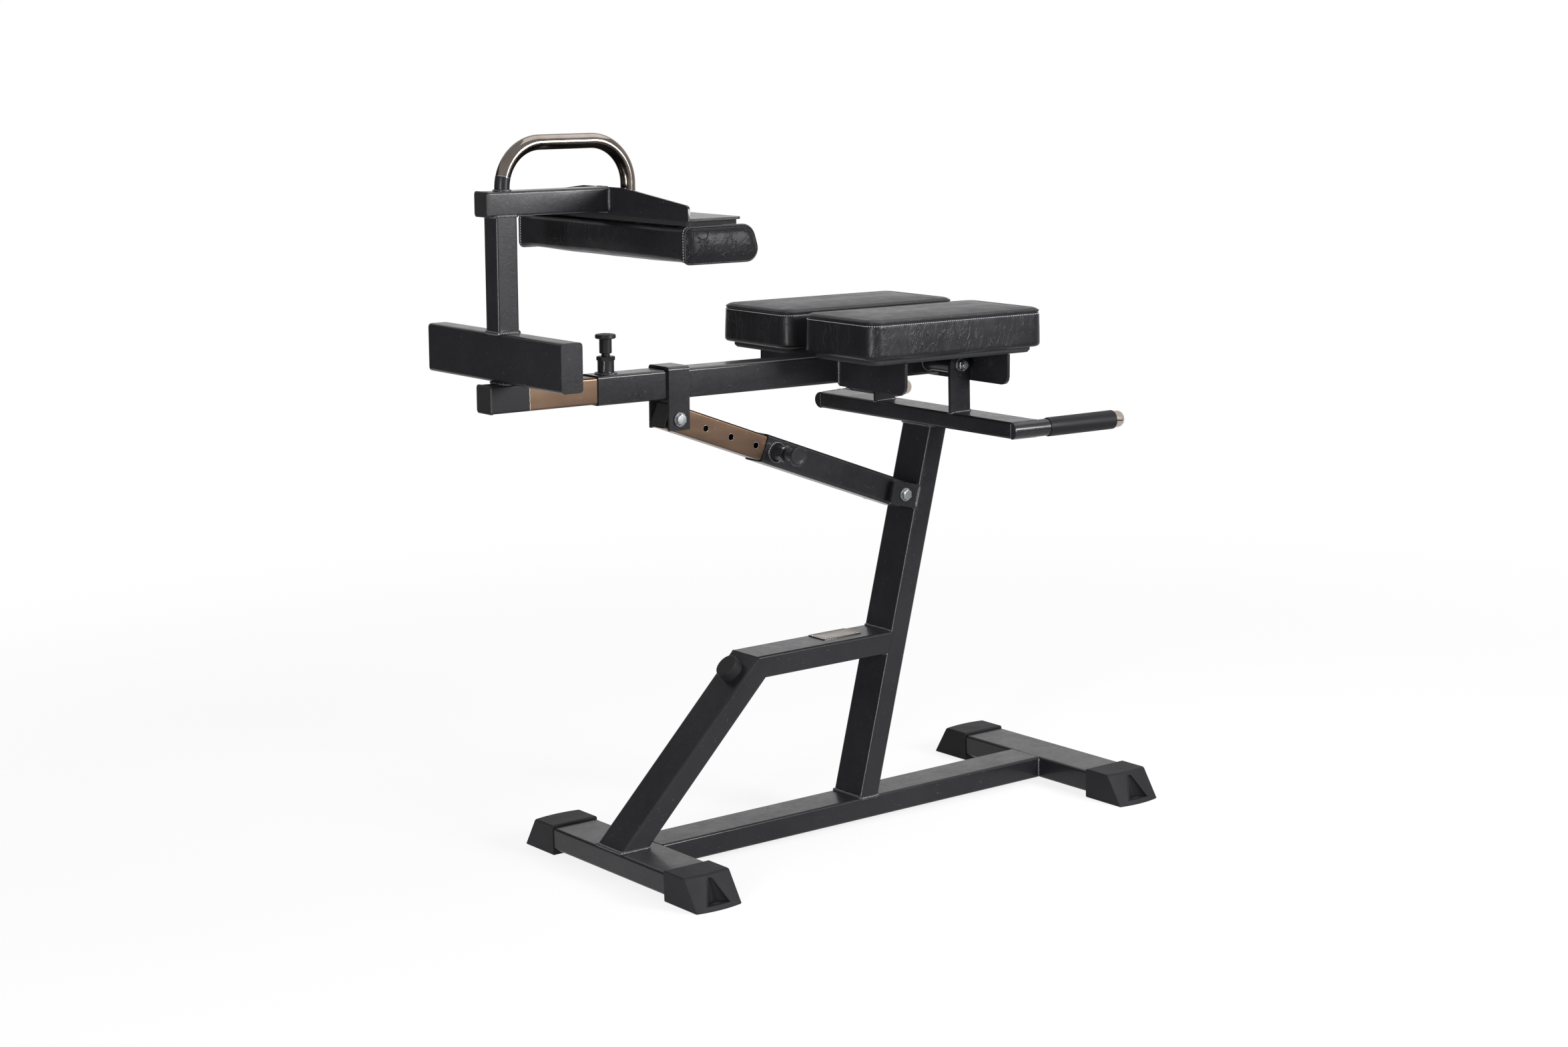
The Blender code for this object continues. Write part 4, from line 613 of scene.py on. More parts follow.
def stitches(name, path, normals, radius, body):
    """Row of short thread stitches that sink into the cover at both ends."""
    points = []
    faces = []
    count = len(path)
    lengths = [0.0]
    for index in range(count):
        lengths.append(lengths[-1] + (path[(index + 1) % count] - path[index]).length)
    total = lengths[-1]
    number = int(total / (STITCH_LENGTH + STITCH_GAP))
    pitch = total / number

    def at(place):
        place %= total
        index = int(np.searchsorted(lengths, place, side="right")) - 1
        index = min(index, count - 1)
        share = (place - lengths[index]) / max(lengths[index + 1] - lengths[index], 1e-9)
        after = (index + 1) % count
        return path[index].lerp(path[after], share), normals[index].lerp(normals[after], share).normalized()

    for stitch in range(number):
        line = []
        radii = []
        for step, lift, size in STITCH_SHAPE:
            place, normal = at(stitch * pitch + step * (pitch - STITCH_GAP))
            line.append(place + normal * lift * radius)
            radii.append(radius * size)
        more_points, more_faces = sweep(line, radii, 6, start=len(points))
        points += more_points
        faces += more_faces
    return add_mesh(name, points, faces, THREAD, body, "pad_vinyl", 80.0)


# Rows of the hip cushion's skin from below, each with a height and an inset: the rounded lower edge,
# the side, and the crown as shares of the rise from the seam. The seam's groove lies between, each row
# with a height past the seam and a depth.
LOWER_EDGE = (
    (0.0, 0.022), (0.0, 0.0085), (0.0003, 0.0056), (0.0012, 0.0031), (0.0028, 0.0013), (0.0050, 0.0003),
)
SIDE_ROWS = 18
GROOVE = (
    (-0.0048, 0.0), (-0.0030, 0.00005), (-0.0018, 0.0004), (-0.0008, 0.0010), (0.0, 0.0014),
    (0.0008, 0.0010), (0.0018, 0.0001), (0.0030, -0.0005), (0.0044, -0.0003),
)
CROWN = (
    (0.45, 0.0035), (0.54, 0.0055), (0.62, 0.0080), (0.68, 0.0110), (0.735, 0.0150), (0.78, 0.020),
    (0.83, 0.027), (0.88, 0.036), (0.925, 0.047), (0.96, 0.060), (0.985, 0.074), (1.0, 0.088),
)
SEAM_ROW = len(LOWER_EDGE) + SIDE_ROWS + len(GROOVE) // 2
# The skin follows the blown cloth from this height up, and is crown from this inset in
EDGE_HEIGHT = 0.004
CROWN_INSET = 0.012


def hip_rows():
    """Height, inset and groove depth of each row of the hip cushion's skin."""
    rows = [(height, inset, 0.0) for height, inset in LOWER_EDGE]
    rows += [(height, 0.0, 0.0) for height in np.linspace(0.0085, SEAM_HEIGHT - 0.007, SIDE_ROWS)]
    rows += [(SEAM_HEIGHT + offset, 0.0, depth) for offset, depth in GROOVE]
    rise = CROWN_HEIGHT - SEAM_HEIGHT
    return rows + [(SEAM_HEIGHT + rise * share, inset, 0.0) for share, inset in CROWN]


def fitted(point, height, inset, depth, blown):
    """Draw a point of the skin toward the blown cloth, and into the seam's groove by a depth."""
    spot, normal, _index, _distance = blown.find_nearest(point)
    if inset > CROWN_INSET:
        return Vector((point.x, point.y, spot.z * 0.5 + height * 0.5))
    share = min(1.0, (height - EDGE_HEIGHT) / 0.040)
    point = point.lerp(Vector((spot.x, spot.y, point.z)), 0.4 * share)
    return point - Vector((normal.x, normal.y, 0.0)).normalized() * depth


def uneven(point, height, inset, side):
    """Lift or push out a point of the skin by slow noise, but not along the seam."""
    amount = 0.00055 if height < SEAM_HEIGHT - 0.006 else 0.00025
    if abs(height - SEAM_HEIGHT) < 0.004:
        amount = 0.0
    swell = noise.noise(Vector((point.x * 38, point.y * 38 + 7 * side, point.z * 16)))
    direction = UP if inset > CROWN_INSET else Vector((point.x, point.y, 0.0)).normalized()
    return point + direction * swell * amount


def hip_pad(hand, side):
    """Crowned hip cushion with a sewn top seam, blown up as cloth and then skinned."""
    smaller = 0.0030
    coarse = [
        pad_level(height, inset + smaller) for height, inset in (
            (0.0010, 0.005), (0.004, 0.001), (0.020, 0.0), (0.040, 0.0), (SEAM_HEIGHT - 0.004, 0.001),
            (SEAM_HEIGHT + 0.003, 0.005), (SEAM_HEIGHT + 0.007, 0.014), (CROWN_HEIGHT - 0.004, 0.040),
        )
    ]

    def held(place):
        if place[2] < 0.005:
            return 1.0
        return 0.55 if abs(place[2] - SEAM_HEIGHT) < 0.004 else 0.0

    blown = inflate(f"hip_blow_{hand}", coarse, held, 0.0065)
    middle_x = PAD_FRONT + PAD_LENGTH / 2
    middle_y = side * (PAD_INNER + PAD_WIDTH / 2)
    rows = hip_rows()
    world = []
    for number, (height, inset, depth) in enumerate(rows):
        ring = pad_level(height, inset)
        # The lower edge and the last row aren't drawn to the cloth, and the two lowest rows stay flat
        if number < len(rows) - 1 and height >= EDGE_HEIGHT:
            ring = [fitted(point, height, inset, depth, blown) for point in ring]
        if number > 1:
            ring = [uneven(point, height, inset, side) for point in ring]
        world.append([on_beam(middle_x + p.x, middle_y + p.y * side, PAD_BASE + p.z) for p in ring])
    pad = add_mesh(f"hip_cushion_{hand}", *loft(world), HIP_VINYL, "beam", "pad_vinyl", 60.0)
    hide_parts(f"hip_pad_{hand}")
    centre = on_beam(middle_x, middle_y, PAD_BASE + SEAM_HEIGHT)
    normals = outward_normals(world[SEAM_ROW], BEAM_Z, centre)
    path = [point + normal * 0.00045 for point, normal in zip(world[SEAM_ROW - 2], normals)]
    stitches(f"hip_stitches_{hand}", path, normals, 0.00040, "beam")


for hand, side in SIDES:
    hip_pad(hand, side)

# ---- ankle cushion

ANKLE_FRONT = -0.6865
ANKLE_MIDDLE = 0.2511
ANKLE_DEPTH = 0.143
ANKLE_HALF_HEIGHT = 0.0295
ANKLE_POINTS = 132
ANKLE_SEAM = 0.2485
ANKLE_STITCHES = 0.2446
ANKLE_COVER_END = 0.2440
ANKLE_PANEL_START = 0.2540
# Distance from the middle and inset of each row at an end: the panel, then the seam and the cover
ANKLE_END = (
    (0.2574, 0.0290), (0.2573, 0.0265), (0.2571, 0.0225), (0.2568, 0.0185), (0.2563, 0.0145),
    (0.2556, 0.0110), (0.2546, 0.0080), (0.2534, 0.0055), (0.2520, 0.0035), (0.2506, 0.0022),
    (0.2496, 0.0021), (0.2488, 0.0025), (0.2479, 0.0021), (0.2468, 0.0011), (0.2455, 0.0005),
    (0.2435, 0.0002),
)
PANEL_ROWS = 10


def ankle_outline():
    """Section of the ankle cushion: flat front, and a full back with a fuller lower edge."""
    top = ANKLE_HALF_HEIGHT
    outline = []
    for x, z, radius, start, end in (
        (0.011, top - 0.011, 0.011, 180, 90),
        (ANKLE_DEPTH - 0.031, top - 0.025, 0.025, 90, 20),
        (ANKLE_DEPTH - 0.0215, 0.0200 - top, 0.020, 20, -90),
        (0.008, 0.008 - top, 0.008, -90, -180),
    ):
        for step in range(9):
            turn = math.radians(start + (end - start) * step / 8)
            outline.append(Vector((x + radius * math.cos(turn), z + radius * math.sin(turn), 0.0)))
    return resample(outline, True, count=ANKLE_POINTS)


def ankle_ring(outline, place, inset):
    """Ring of the ankle cushion across Y, drawn in toward its middle by an inset."""
    middle = ANKLE_DEPTH / 2
    across = 1 - inset / middle
    along = 1 - inset / ANKLE_HALF_HEIGHT
    return [Vector((middle + (p.x - middle) * across, place, p.y * along)) for p in outline]


def ankle_point(point, place, blown):
    """Draw a point of the cover toward the blown cloth with a few folds, and make an end panel uneven."""
    if abs(place) < ANKLE_COVER_END:
        spot = blown.find_nearest(point)[0]
        share = min(1.0, (ANKLE_COVER_END - abs(place)) / 0.02) * 0.7
        shifted = point.lerp(Vector((spot.x, point.y, spot.z)), share)
        crease = noise.noise(Vector((point.x * 24, place * 75, point.z * 20)))
        waist = noise.noise(Vector((point.x * 9, place * 11 + 4, point.z * 9)))
        outward = Vector((point.x - ANKLE_DEPTH / 2, 0.0, point.z * 2.4)).normalized()
        return shifted + outward * (0.00035 * crease + 0.0008 * waist) * share
    if abs(place) > ANKLE_PANEL_START:
        lumps = noise.noise(Vector((point.x * 42 + point.z * 20, 0.0, point.z * 16)))
        return point + LEFT * (math.copysign(0.0006, place) * lumps)
    return point


def ankle_pad():
    """Ankle cushion with piped seams round its bulging end panels."""
    outline = ankle_outline()
    coarse = [
        ankle_ring(outline, place, inset) for place, inset in (
            (-0.252, 0.014), (-0.2495, 0.006), (-0.2465, 0.004), (-0.20, 0.004), (0.0, 0.004),
            (0.20, 0.004), (0.2465, 0.004), (0.2495, 0.006), (0.252, 0.014),
        )
    ]

    def held(place):
        if abs(abs(place[1]) - ANKLE_SEAM) < 0.003:
            return 0.6
        return 1.0 if place[2] > 0.021 else 0.0

    def to_world(ring):
        return [on_beam(ANKLE_FRONT + p.x, p.y, ANKLE_MIDDLE + p.z) for p in ring]

    blown = inflate("ankle_blow", coarse, held, 0.006)
    half = [*ANKLE_END, *((place, 0.0001) for place in np.linspace(0.238, 0.012, 20))]
    stations = [(-place, inset) for place, inset in half] + [(0.0, 0.0)] + half[::-1]
    world = [
        to_world(ankle_point(point, place, blown) for point in ankle_ring(outline, place, inset))
        for place, inset in stations
    ]
    cover = loft(world[PANEL_ROWS - 1:1 - PANEL_ROWS])
    pad = add_mesh("ankle_cushion", *cover, ANKLE_VINYL, "carriage", "pad_vinyl", 60.0)
    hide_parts("ankle_pad")
    for hand, panel in (("right", world[:PANEL_ROWS]), ("left", world[-PANEL_ROWS:])):
        add_mesh(f"ankle_panel_{hand}", *loft(panel), PANEL_VINYL, "carriage", "pad_vinyl", 60.0)
    for hand, side in SIDES:
        seam = to_world(ankle_ring(outline, side * ANKLE_SEAM, 0.0007))
        piping = sweep(resample(seam, True, 0.003), 0.0021, 10, True)
        add_mesh(f"ankle_piping_{hand}", *piping, ANKLE_VINYL, "carriage", "pad_vinyl", 80.0)
        path = to_world(ankle_ring(outline, side * ANKLE_STITCHES, -0.0003))
        centre = on_beam(ANKLE_FRONT + ANKLE_DEPTH / 2, side * ANKLE_STITCHES, ANKLE_MIDDLE)
        stitches(f"ankle_stitches_{hand}", path, outward_normals(path, LEFT, centre), 0.00042, "carriage")


ankle_pad()

# ---- welds


def in_world(x, y, z):
    """World place of a point on the frame."""
    return Vector((x, y, z))


def frame_loop(place, x0, x1, half_y, level, drop=0.0, corner=0.005):
    """Closed path round a tube's foot, its two long sides lower by a drop."""
    path = []
    for x, y in rounded(x0, x1, -half_y, half_y, corner):
        share = min(1.0, max(0.0, (abs(y) - half_y + corner) / corner))
        path.append(place(x, y - math.copysign(drop * 0.6 * share, y), level - drop * share))
    return path


def ring_path(place, centre, radius, plane):
    """Closed round path about a centre, flat in the plane that the two letters name."""
    path = []
    for step in range(40):
        turn = 2 * math.pi * step / 40
        a = radius * math.cos(turn)
        b = radius * math.sin(turn)
        offset = (a, b, 0.0) if plane == "xy" else (a, 0.0, b)
        path.append(place(*(c + o for c, o in zip(centre, offset))))
    return path


WELD_STEP = 0.0008


def weld(name, body, radius, path, closed=False):
    """Weld bead along a path, with overlapping ripples and a slightly uneven width."""
    seed = Vector((len(bpy.data.objects) * 1.7, 0.0, 0.0))
    line = resample(path, closed, WELD_STEP)
    radii = []
    for index, point in enumerate(line):
        phase = (index % 4) / 4
        ripple = 0.90 + 0.16 * math.sin(math.pi * phase) ** 0.7
        drift = 1.0 + 0.22 * noise.noise(point * 95.0 + seed)
        taper = 1.0
        if not closed:
            end = min(index, len(line) - 1 - index) / 5
            taper = min(1.0, 0.35 + 0.65 * end)
        radii.append(radius * ripple * drift * taper)
    add_mesh(name, *sweep(line, radii, 10, closed), BEAD, body, "painted_frame", 75.0)


def straight_welds(rows, ending=""):
    """Beads between two places, which differ in the coordinate that is given as a pair."""
    for name, body, radius, place, *spot in rows:
        ends = [place(*(c[end] if isinstance(c, tuple) else c for c in spot)) for end in (0, 1)]
        weld(f"weld_{name}{ending}", body, radius, ends)


weld("weld_column_foot", "frame", 0.0036, frame_loop(in_world, 0.1028, 0.1455, 0.0403, 0.0508, 0.0019), True)
weld("weld_diagonal_foot", "frame", 0.0034, frame_loop(in_world, -0.4130, -0.3556, 0.0403, 0.0506), True)
weld("weld_column_head", "frame", 0.0036, frame_loop(in_world, 0.2780, 0.3203, 0.0402, 0.7112), True)
straight_welds((
    ("brace_top", "frame", 0.0030, in_world, 0.1808, (-0.0375, 0.0375), 0.3474),
    ("brace_under", "frame", 0.0026, in_world, 0.1706, (-0.0375, 0.0375), 0.3062),
))
UPRIGHT_WELD = (
    (0.2695, 0.1034, 0.7408), (0.2730, 0.1034, 0.7424), (0.3120, 0.1034, 0.7424), (0.3139, 0.1042, 0.7424),
    (0.3139, 0.1100, 0.7424), (0.3120, 0.1107, 0.7424), (0.2730, 0.1107, 0.7424), (0.2695, 0.1107, 0.7408),
)
for hand, side in SIDES:
    straight_welds((
        ("base_front", "frame", 0.0026, in_world, -0.3260, side * 0.0404, (0.0125, 0.0475)),
        ("base_rear", "frame", 0.0028, in_world, 0.5305, side * 0.0406, (0.0125, 0.0480)),
    ), f"_{hand}")
    weld(f"weld_upright_{hand}", "frame", 0.0020, [(x, side * y, z) for x, y, z in UPRIGHT_WELD], True)
    across = (side * 0.0340, side * 0.0392)
    straight_welds((
        ("handle_top", "frame", 0.0014, on_handle, side, (0.0030, 0.0570), -0.0012, 0.7413),
        ("handle_under", "frame", 0.0014, on_handle, side, (0.0030, 0.0570), -0.0012, 0.7127),
        ("handle_rear", "frame", 0.0024, on_handle, side, 0.0608, -0.0130, (0.7155, 0.7385)),
        ("handle_front", "frame", 0.0012, on_handle, side, 0.0002, -0.0012, (0.7140, 0.7400)),
        ("lug_outer", "frame", 0.0034, on_column, (0.5330, 0.5750), side * 0.0394, -0.0010),
        ("lug_inner", "frame", 0.0020, on_column, (0.5335, 0.5745), side * 0.0334, 0.0008),
        ("lug_low", "frame", 0.0020, on_column, 0.5320, across, 0.0006),
        ("lug_high", "frame", 0.0020, on_column, 0.5760, across, 0.0006),
        ("bracket_front", "beam", 0.0031, on_beam, -0.2058, side * 0.0260, (-0.0280, 0.0215)),
        ("bracket_back", "beam", 0.0026, on_beam, -0.1984, side * 0.0258, (-0.0280, 0.0215)),
        ("bracket_rear", "beam", 0.0028, on_beam, 0.0277, side * 0.0259, (-0.0235, 0.0215)),
    ), f"_{hand}")
    pivot = ring_path(on_beam, (0.0, side * 0.0257, 0.0), 0.0170, "xz")
    weld(f"weld_pivot_{hand}", "beam", 0.0023, pivot, True)
    straight_welds((
        ("arm", "carriage", 0.0042, on_beam, -0.6781, side * 0.0212, (0.2960, 0.3325)),
        ("packer", "carriage", 0.0026, on_beam, (-0.8880, -0.8600), side * 0.0212, 0.0250),
    ), f"_{hand}")
straight_welds((
    ("base_top_front", "frame", 0.0027, in_world, -0.3290, (-0.0380, 0.0380), 0.0480),
    ("base_top_rear", "frame", 0.0027, in_world, 0.5334, (-0.0380, 0.0380), 0.0480),
    ("bracket_under", "beam", 0.0024, on_beam, 0.0277, (-0.0220, 0.0220), -TUBE_FACE),
    ("arm_top", "carriage", 0.0020, on_beam, -0.6775, (-0.0185, 0.0185), 0.3338),
    ("arm_under", "carriage", 0.0024, on_beam, -0.6778, (-0.0175, 0.0175), 0.2938),
))
post_foot = frame_loop(on_beam, -0.8936, -0.8544, 0.0205, 0.1072, corner=0.004)
post_head = frame_loop(on_beam, -0.8946, -0.8534, 0.0196, 0.2944, -0.0008, 0.004)
weld("weld_post_foot", "carriage", 0.0035, post_foot, True)
weld("weld_post_head", "carriage", 0.0024, post_head, True)
straight_welds((
    ("packer_front", "carriage", 0.0022, on_beam, -0.8890, (-0.0190, 0.0190), 0.0248),
    ("packer_rear", "carriage", 0.0022, on_beam, -0.8590, (-0.0190, 0.0190), 0.0248),
))
for name, body, radius, place, centre, reach, plane in (
    ("loop_front", "carriage", 0.0021, on_beam, (LOOP_FRONT, 0.0, 0.3350), 0.0134, "xy"),
    ("loop_rear", "carriage", 0.0021, on_beam, (LOOP_REAR, 0.0, 0.2937), 0.0134, "xy"),
    ("beam_pin", "beam", 0.0019, on_beam, (BEAM_PIN_X, 0.0, TUBE_FACE), 0.0174, "xy"),
    ("strut_pin", "strut_tube", 0.0019, on_strut, (STRUT_PIN_X, -TUBE_FACE, 0.0), 0.0174, "xz"),
):
    weld(f"weld_{name}", body, radius, ring_path(place, centre, reach, plane), True)


def ground_joint(name, start, end, radius):
    """Weld ground flush and painted over, along a joint between two tubes."""
    tube = sweep(resample([start, end], False, 0.003), radius, 8)
    add_mesh(name, *tube, PAINT, "frame", "painted_frame", 80.0)


for hand, side in SIDES:
    y = side * 0.0391
    ground_joint(f"elbow_joint_{hand}", (-0.1153, y, 0.3450), (-0.1002, y, 0.3086), 0.0011)
    y = side * 0.0383
    ground_joint(f"brace_joint_{hand}", (0.1826, y, 0.3455), (0.1732, y, 0.3082), 0.0020)
ground_joint("elbow_joint_top", (-0.1160, -0.0360, 0.3460), (-0.1160, 0.0360, 0.3460), 0.0011)
ground_joint("elbow_joint_under", (-0.0995, -0.0360, 0.3077), (-0.0995, 0.0360, 0.3077), 0.0011)

# ---- small pieces

LOOP_BEND = 0.072
LOOP_TOP = 0.4104
LOOP_RADIUS = 0.0125


def loop_line():
    """Middle line of the grab loop in the beam's frame: up, over two bends and down to the upper tube."""
    level = LOOP_TOP - LOOP_BEND
    line = [(LOOP_FRONT, 0.3348)]
    for middle, start in ((LOOP_FRONT + LOOP_BEND, 180), (LOOP_REAR - LOOP_BEND, 90)):
        for step in range(25):
            turn = math.radians(start - 90 * step / 24)
            line.append((middle + LOOP_BEND * math.cos(turn), level + LOOP_BEND * math.sin(turn)))
    return line + [(LOOP_REAR, 0.2935)]


loop_path = resample([on_beam(x, 0.0, z) for x, z in loop_line()], False, 0.0035)
loop_tube = sweep(loop_path, LOOP_RADIUS, 48)
smooth_loop = add_mesh("grab_loop_smooth", *loop_tube, LOOP_PLATE, "carriage", "plated_steel", 60.0)
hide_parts("grab_loop")


def working_spring(node, pin_body):
    """Copy of a coil spring in world places, named after its pin, in place of the CAD spring."""
    points = [node.matrix_world @ vertex.co for vertex in node.data.vertices]
    faces = [tuple(face.vertices) for face in node.data.polygons]
    coil = mesh_object(f"{pin_body}_coil", points, faces, SPRING)
    coil.data.shade_smooth()
    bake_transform(coil)
    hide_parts(node.name)


working_spring(nodes["beam_pin_spring"], "beam_pin")
working_spring(nodes["strut_pin_spring"], "strut_pin")


def slab(name, outline, levels, place, material, body, slot, angle=35.0):
    """Plate from an outline about its middle, drawn in by an inset at each level."""
    width = max(abs(x) for x, _y in outline)
    depth = max(abs(y) for _x, y in outline)
    points = []
    for height, inset in levels:
        for x, y in outline:
            points.append(place(x * (1 - inset / width), y * (1 - inset / depth), height))
    return add_mesh(name, points, ring_faces(len(levels), len(outline)), material, body, slot, angle)


plug_outline = rounded(-0.0198, 0.0198, -0.0198, 0.0198, 0.0020)
slab(
    "strut_end_plug", plug_outline, [(-0.0040, 0.0), (0.0, 0.0), (0.0004, 0.0004)],
    lambda across, rise, out: on_strut(-0.0190 - out, across, rise), PLASTIC, "strut_rod", "cap_plastic",
)

BADGE_MIDDLE = Vector((0.0895, 0.0095, 0.3468))
BADGE_HALF = (0.0415, 0.0245)
SCREW_INSET = 0.0055
SCREW_HEAD = (
    (0.0021, 0.0014), (0.0021, 0.0020), (0.0018, 0.0026), (0.0011, 0.0030), (0.0007, 0.0030),
    (0.0006, 0.0024),
)


def on_badge(x, y, z):
    return BADGE_MIDDLE + Vector((x, y, z))


badge_outline = rounded(-BADGE_HALF[0], BADGE_HALF[0], -BADGE_HALF[1], BADGE_HALF[1], 0.0025, 4)
slab(
    "badge_plate", badge_outline,
    [(0.0001, 0.0), (0.0014, 0.0), (0.0019, 0.0005), (0.0019, 0.0022), (0.0016, 0.0027), (0.0016, 0.0200)],
    on_badge, BADGE, "frame", "plated_steel",
)
for number, (x, y) in enumerate(((-1, -1), (1, -1), (1, 1), (-1, 1))):
    spot = on_badge(x * (BADGE_HALF[0] - SCREW_INSET), y * (BADGE_HALF[1] - SCREW_INSET), 0.0)
    lathe(f"badge_screw_{number}", SCREW_HEAD, 14, spot, UP, ZINC, "frame", "zinc_steel")

THREAD_LENGTH = 0.0028
THREAD_PITCH = 0.00095
THREAD_STEPS = 14


def thread(name, centre, axis, radius, body):
    """Screw thread on the end of a bolt."""
    side = axis.orthogonal().normalized()
    up = axis.cross(side)
    steps = round(THREAD_LENGTH / THREAD_PITCH) * THREAD_STEPS
    path = []
    for step in range(steps + 1):
        turn = 2 * math.pi * step / THREAD_STEPS
        rise = THREAD_LENGTH * step / steps
        path.append(centre + axis * rise + (side * math.cos(turn) + up * math.sin(turn)) * radius)
    add_mesh(name, *sweep(path, 0.00042, 6), ZINC, body, "zinc_steel", 60.0)


thread("thread_hip", BEAM_ORIGIN - LEFT * 0.1241, -LEFT, 0.00575, "frame")
thread("thread_strap", STRUT_ORIGIN + LEFT * 0.0426, LEFT, 0.00475, "beam")
thread("thread_lug", LUG_BOLT + LEFT * 0.0522, LEFT, 0.00475, "frame")

BUSH = ((0.01225, 0.0), (0.01325, 0.0004), (0.01325, 0.0076), (0.01225, 0.0080))
for hand, side in SIDES:
    spot = LUG_BOLT + LEFT * (side * 0.0258)
    lathe(f"lug_bush_{hand}", BUSH, 32, spot, LEFT * side, BRONZE, "frame", "zinc_steel")


def burr(name, place, centre, plane, body):
    """Bright raised edge round a drilled hole, low enough to pass through the outer tube."""
    edge = resample(ring_path(place, centre, 0.00565, plane), True, 0.0012)
    add_mesh(name, *sweep(edge, 0.00024, 6, True), ZINC, body, "plated_steel", 80.0)


for number, x in enumerate(STRUT_HOLES):
    burr(f"burr_strut_{number}", on_strut, (x, -INNER_FACE, 0.0), "xz", "strut_rod")
for number in range(2, 5):  # the holes outside the beam
    x = BEAM_PIN_X - BEAM_HOLE_PITCH * number
    burr(f"burr_beam_{number}", on_beam, (x, 0.0, INNER_FACE), "xy", "carriage")

# Shares of a drain hole's radius, and heights
PIT = ((1.25, -0.0002), (1.2, 0.0002), (1.0, 0.00025), (0.9, 0.00005), (0.2, 0.00003))


def pit(name, centre, axis, radius):
    """Small drain hole, drawn as a shallow ring round a black floor that is painted shade for the hole's
    inside.
    """
    profile = [(radius * share, height) for share, height in PIT]
    # Painted shade: the hole is not cut, and the black board finish on its floor stands in for the shade
    # inside it
    lathe(name, profile, 18, Vector(centre), axis, BOARD, "frame", "painted_frame")


pit("vent_crossbar", (0.26815, -0.2640, 0.7274), Vector((-1.0, 0.0, 0.0)), 0.0016)
pit("drain_base_1", (-0.0588, 0.0232, 0.05), UP, 0.0011)
pit("drain_base_2", (-0.0595, -0.0099, 0.05), UP, 0.0009)

# Rubber feet: their places, their bowed and sloping outer face, and half of the arch in it
FOOT_PLACES = (("front", -0.37182), ("rear", 0.57618))
FOOT_REACH = 0.271
FOOT_SLOPE = 0.0355
FOOT_BOW = 0.005
FOOT_TOP = 0.0543
FOOT_HALF = 0.0439
ARCH = (
    (0.0238, 0.0082), (0.0190, 0.0178), (0.0150, 0.0262), (0.0105, 0.0354), (0.0066, 0.0440),
    (0.0046, 0.0472), (0.0020, 0.0488),
)


def foot_surface(x, height):
    """How far out the face of a foot lies."""
    return FOOT_REACH - FOOT_SLOPE * height / FOOT_TOP - FOOT_BOW * min(1.0, (x / FOOT_HALF) ** 2)


def foot_arch(name, middle, side):
    """Rim of the arch in a rubber foot, and a dark patch at its bottom that is painted shade for the slot
    there.
    """
    arch = [(-x, height) for x, height in ARCH] + list(reversed(ARCH))
    rim = [(middle + x, side * (foot_surface(x, height) - 0.0004), height) for x, height in arch]
    add_mesh(
        f"foot_rim_{name}", *sweep(resample(rim, False, 0.002), 0.0013, 8),
        FOOT, "frame", "foot_rubber", 80.0,
    )

    def on_shelf(x, y, z):
        return Vector((middle + x, side * (0.2560 + y), 0.0081 + z))

    # Painted shade: a thin dark patch stands in for the shaded opening of the slot
    slot = rounded(-0.0070, 0.0070, -0.0028, 0.0028, 0.0025)
    levels = [(0.0, 0.0), (0.0005, 0.0), (0.0006, 0.0006)]
    slab(f"foot_slot_shade_{name}", slot, levels, on_shelf, BOARD, "frame", "foot_rubber")


for end, middle in FOOT_PLACES:
    for hand, side in SIDES:
        foot_arch(f"{end}_{hand}", middle, side)

# ---- camera, lights, stage

PHOTO_WIDTH = 2349
SENSOR_WIDTH = 36.0
FOCAL_PIXELS = 4327.79
YAW = math.radians(36.4698)
PITCH = math.radians(10.5825)
ROLL = math.radians(-1.39418)
CAMERA_PLACE = Vector((-2.98802, -4.00981, 1.49756))

forward = Vector((math.sin(YAW) * math.cos(PITCH), math.cos(YAW) * math.cos(PITCH), -math.sin(PITCH)))
right = Vector((math.cos(YAW), -math.sin(YAW), 0.0))
up = right.cross(forward)
rolled_right = right * math.cos(ROLL) + up * math.sin(ROLL)
rolled_up = up * math.cos(ROLL) - right * math.sin(ROLL)
camera = add_object("camera", bpy.data.cameras.new("camera"))
camera.data.sensor_fit = "HORIZONTAL"
camera.data.sensor_width = SENSOR_WIDTH
camera.data.lens = FOCAL_PIXELS * SENSOR_WIDTH / PHOTO_WIDTH
camera.data.clip_end = 200.0
turn = Matrix((rolled_right, rolled_up, -forward)).transposed().to_4x4()
camera.matrix_world = Matrix.Translation(CAMERA_PLACE) @ turn
bpy.context.scene.camera = camera


def area_light(name, place, target, width, height, power):
    data = bpy.data.lights.new(name, "AREA")
    data.shape = "RECTANGLE"
    data.size = width
    data.size_y = height
    data.energy = power
    lamp = add_object(name, data)
    lamp.location = place
    aim = Vector(target) - Vector(place)
    lamp.rotation_euler = aim.to_track_quat("-Z", "Y").to_euler()


area_light("key", (1.00, -2.45, 1.45), (-0.45, 0.0, 1.05), 1.0, 0.7, 100.0)
area_light("top", (0.75, -0.15, 3.20), (0.1, 0.0, 0.5), 2.4, 2.4, 52.0)
area_light("front", (-3.40, -2.00, 0.95), (-0.2, 0.0, 0.75), 0.25, 1.9, 120.0)

# Grey cards beyond the picture: one that the faces toward the foot plate reflect, and
# a low one that the lower part of the near side reflects
card_material = bpy.data.materials.new("grey_card")
card_material.use_nodes = True
card_shader = card_material.node_tree.nodes["Principled BSDF"]
card_shader.inputs["Base Color"].default_value = (0.10, 0.10, 0.10, 1.0)
card_shader.inputs["Roughness"].default_value = 0.9


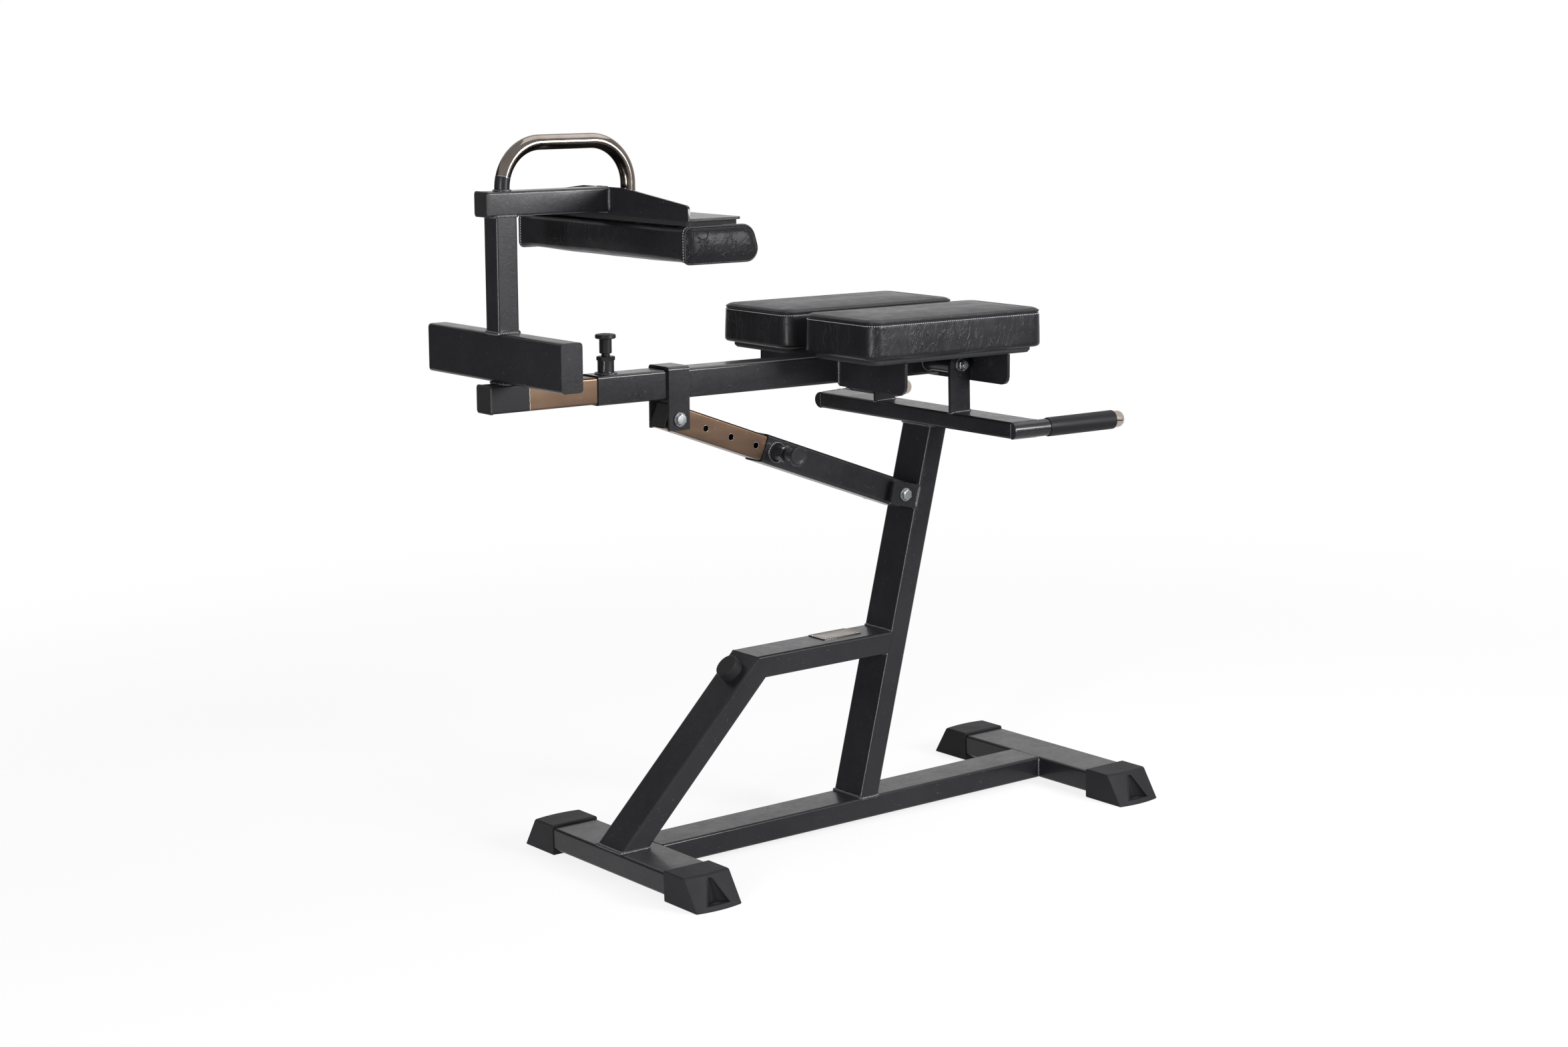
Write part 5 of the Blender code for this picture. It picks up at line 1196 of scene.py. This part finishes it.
def grey_card(name, place, turn, half_width, height):
    corners = [(x * half_width, 0.0, z * height) for x, z in ((-1, 0), (1, 0), (1, 1), (-1, 1))]
    card = mesh_object(name, corners, [(0, 1, 2, 3)], card_material)
    card.location = place
    card.rotation_euler = (0.0, 0.0, math.radians(turn))
    card.visible_camera = False
    card.visible_shadow = False


grey_card("card_left", (-1.75, 2.10, 0.0), 36.5, 1.5, 2.4)
grey_card("card_near", (1.60, -2.15, 0.0), 36.5, 1.3, 0.5)


def seen_directly(tree):
    """One for camera, glossy and transmission rays, and zero for the light that falls on things."""
    paths = add_node(tree, "ShaderNodeLightPath", {}).outputs
    total = paths["Is Camera Ray"]
    for name in ("Is Glossy Ray", "Is Transmission Ray"):
        node = add_node(tree, "ShaderNodeMath", {0: total, 1: paths[name]}, operation="MAXIMUM")
        total = node.outputs["Value"]
    return total


world = bpy.data.worlds.new("studio")
bpy.context.scene.world = world
world.use_nodes = True
tree = world.node_tree
level = add_node(tree, "ShaderNodeMapRange", {"Value": seen_directly(tree), "To Min": 0.35, "To Max": 1.0})
background = tree.nodes["Background"]
background.inputs["Color"].default_value = (1.0, 1.0, 1.0, 1.0)
tree.links.new(level.outputs["Result"], background.inputs["Strength"])

# Pale floor that fades to white away from the object
FLOOR_REACH = 40.0
floor_material = bpy.data.materials.new("pale_floor")
floor_material.use_nodes = True
corners = [(x * FLOOR_REACH, y * FLOOR_REACH, 0.0) for x, y in ((-1, -1), (1, -1), (1, 1), (-1, 1))]
floor = mesh_object("floor", corners, [(0, 1, 2, 3)], floor_material)
floor.location.z = -0.0004
tree = floor_material.node_tree
tree.nodes.clear()
place = add_node(tree, "ShaderNodeTexCoord", {}).outputs["Object"]
distance = add_node(tree, "ShaderNodeVectorMath", {0: place}, operation="LENGTH").outputs["Value"]
fade_inputs = {"Value": distance, 1: 0.9, 2: 3.2, 3: 0.84, 4: 1.0}
fade = add_node(tree, "ShaderNodeMapRange", fade_inputs, interpolation_type="SMOOTHSTEP").outputs["Result"]
share = add_node(tree, "ShaderNodeMath", {0: fade, 1: seen_directly(tree)}, operation="MULTIPLY")
diffuse = add_node(tree, "ShaderNodeBsdfDiffuse", {"Color": (0.80, 0.80, 0.80, 1.0)}).outputs[0]
glow = add_node(tree, "ShaderNodeEmission", {"Strength": 1.0}).outputs[0]
mixed = add_node(tree, "ShaderNodeMixShader", {0: share.outputs["Value"], 1: diffuse, 2: glow}).outputs[0]
add_node(tree, "ShaderNodeOutputMaterial", {"Surface": mixed})

bpy.context.scene.view_settings.view_transform = "Standard"
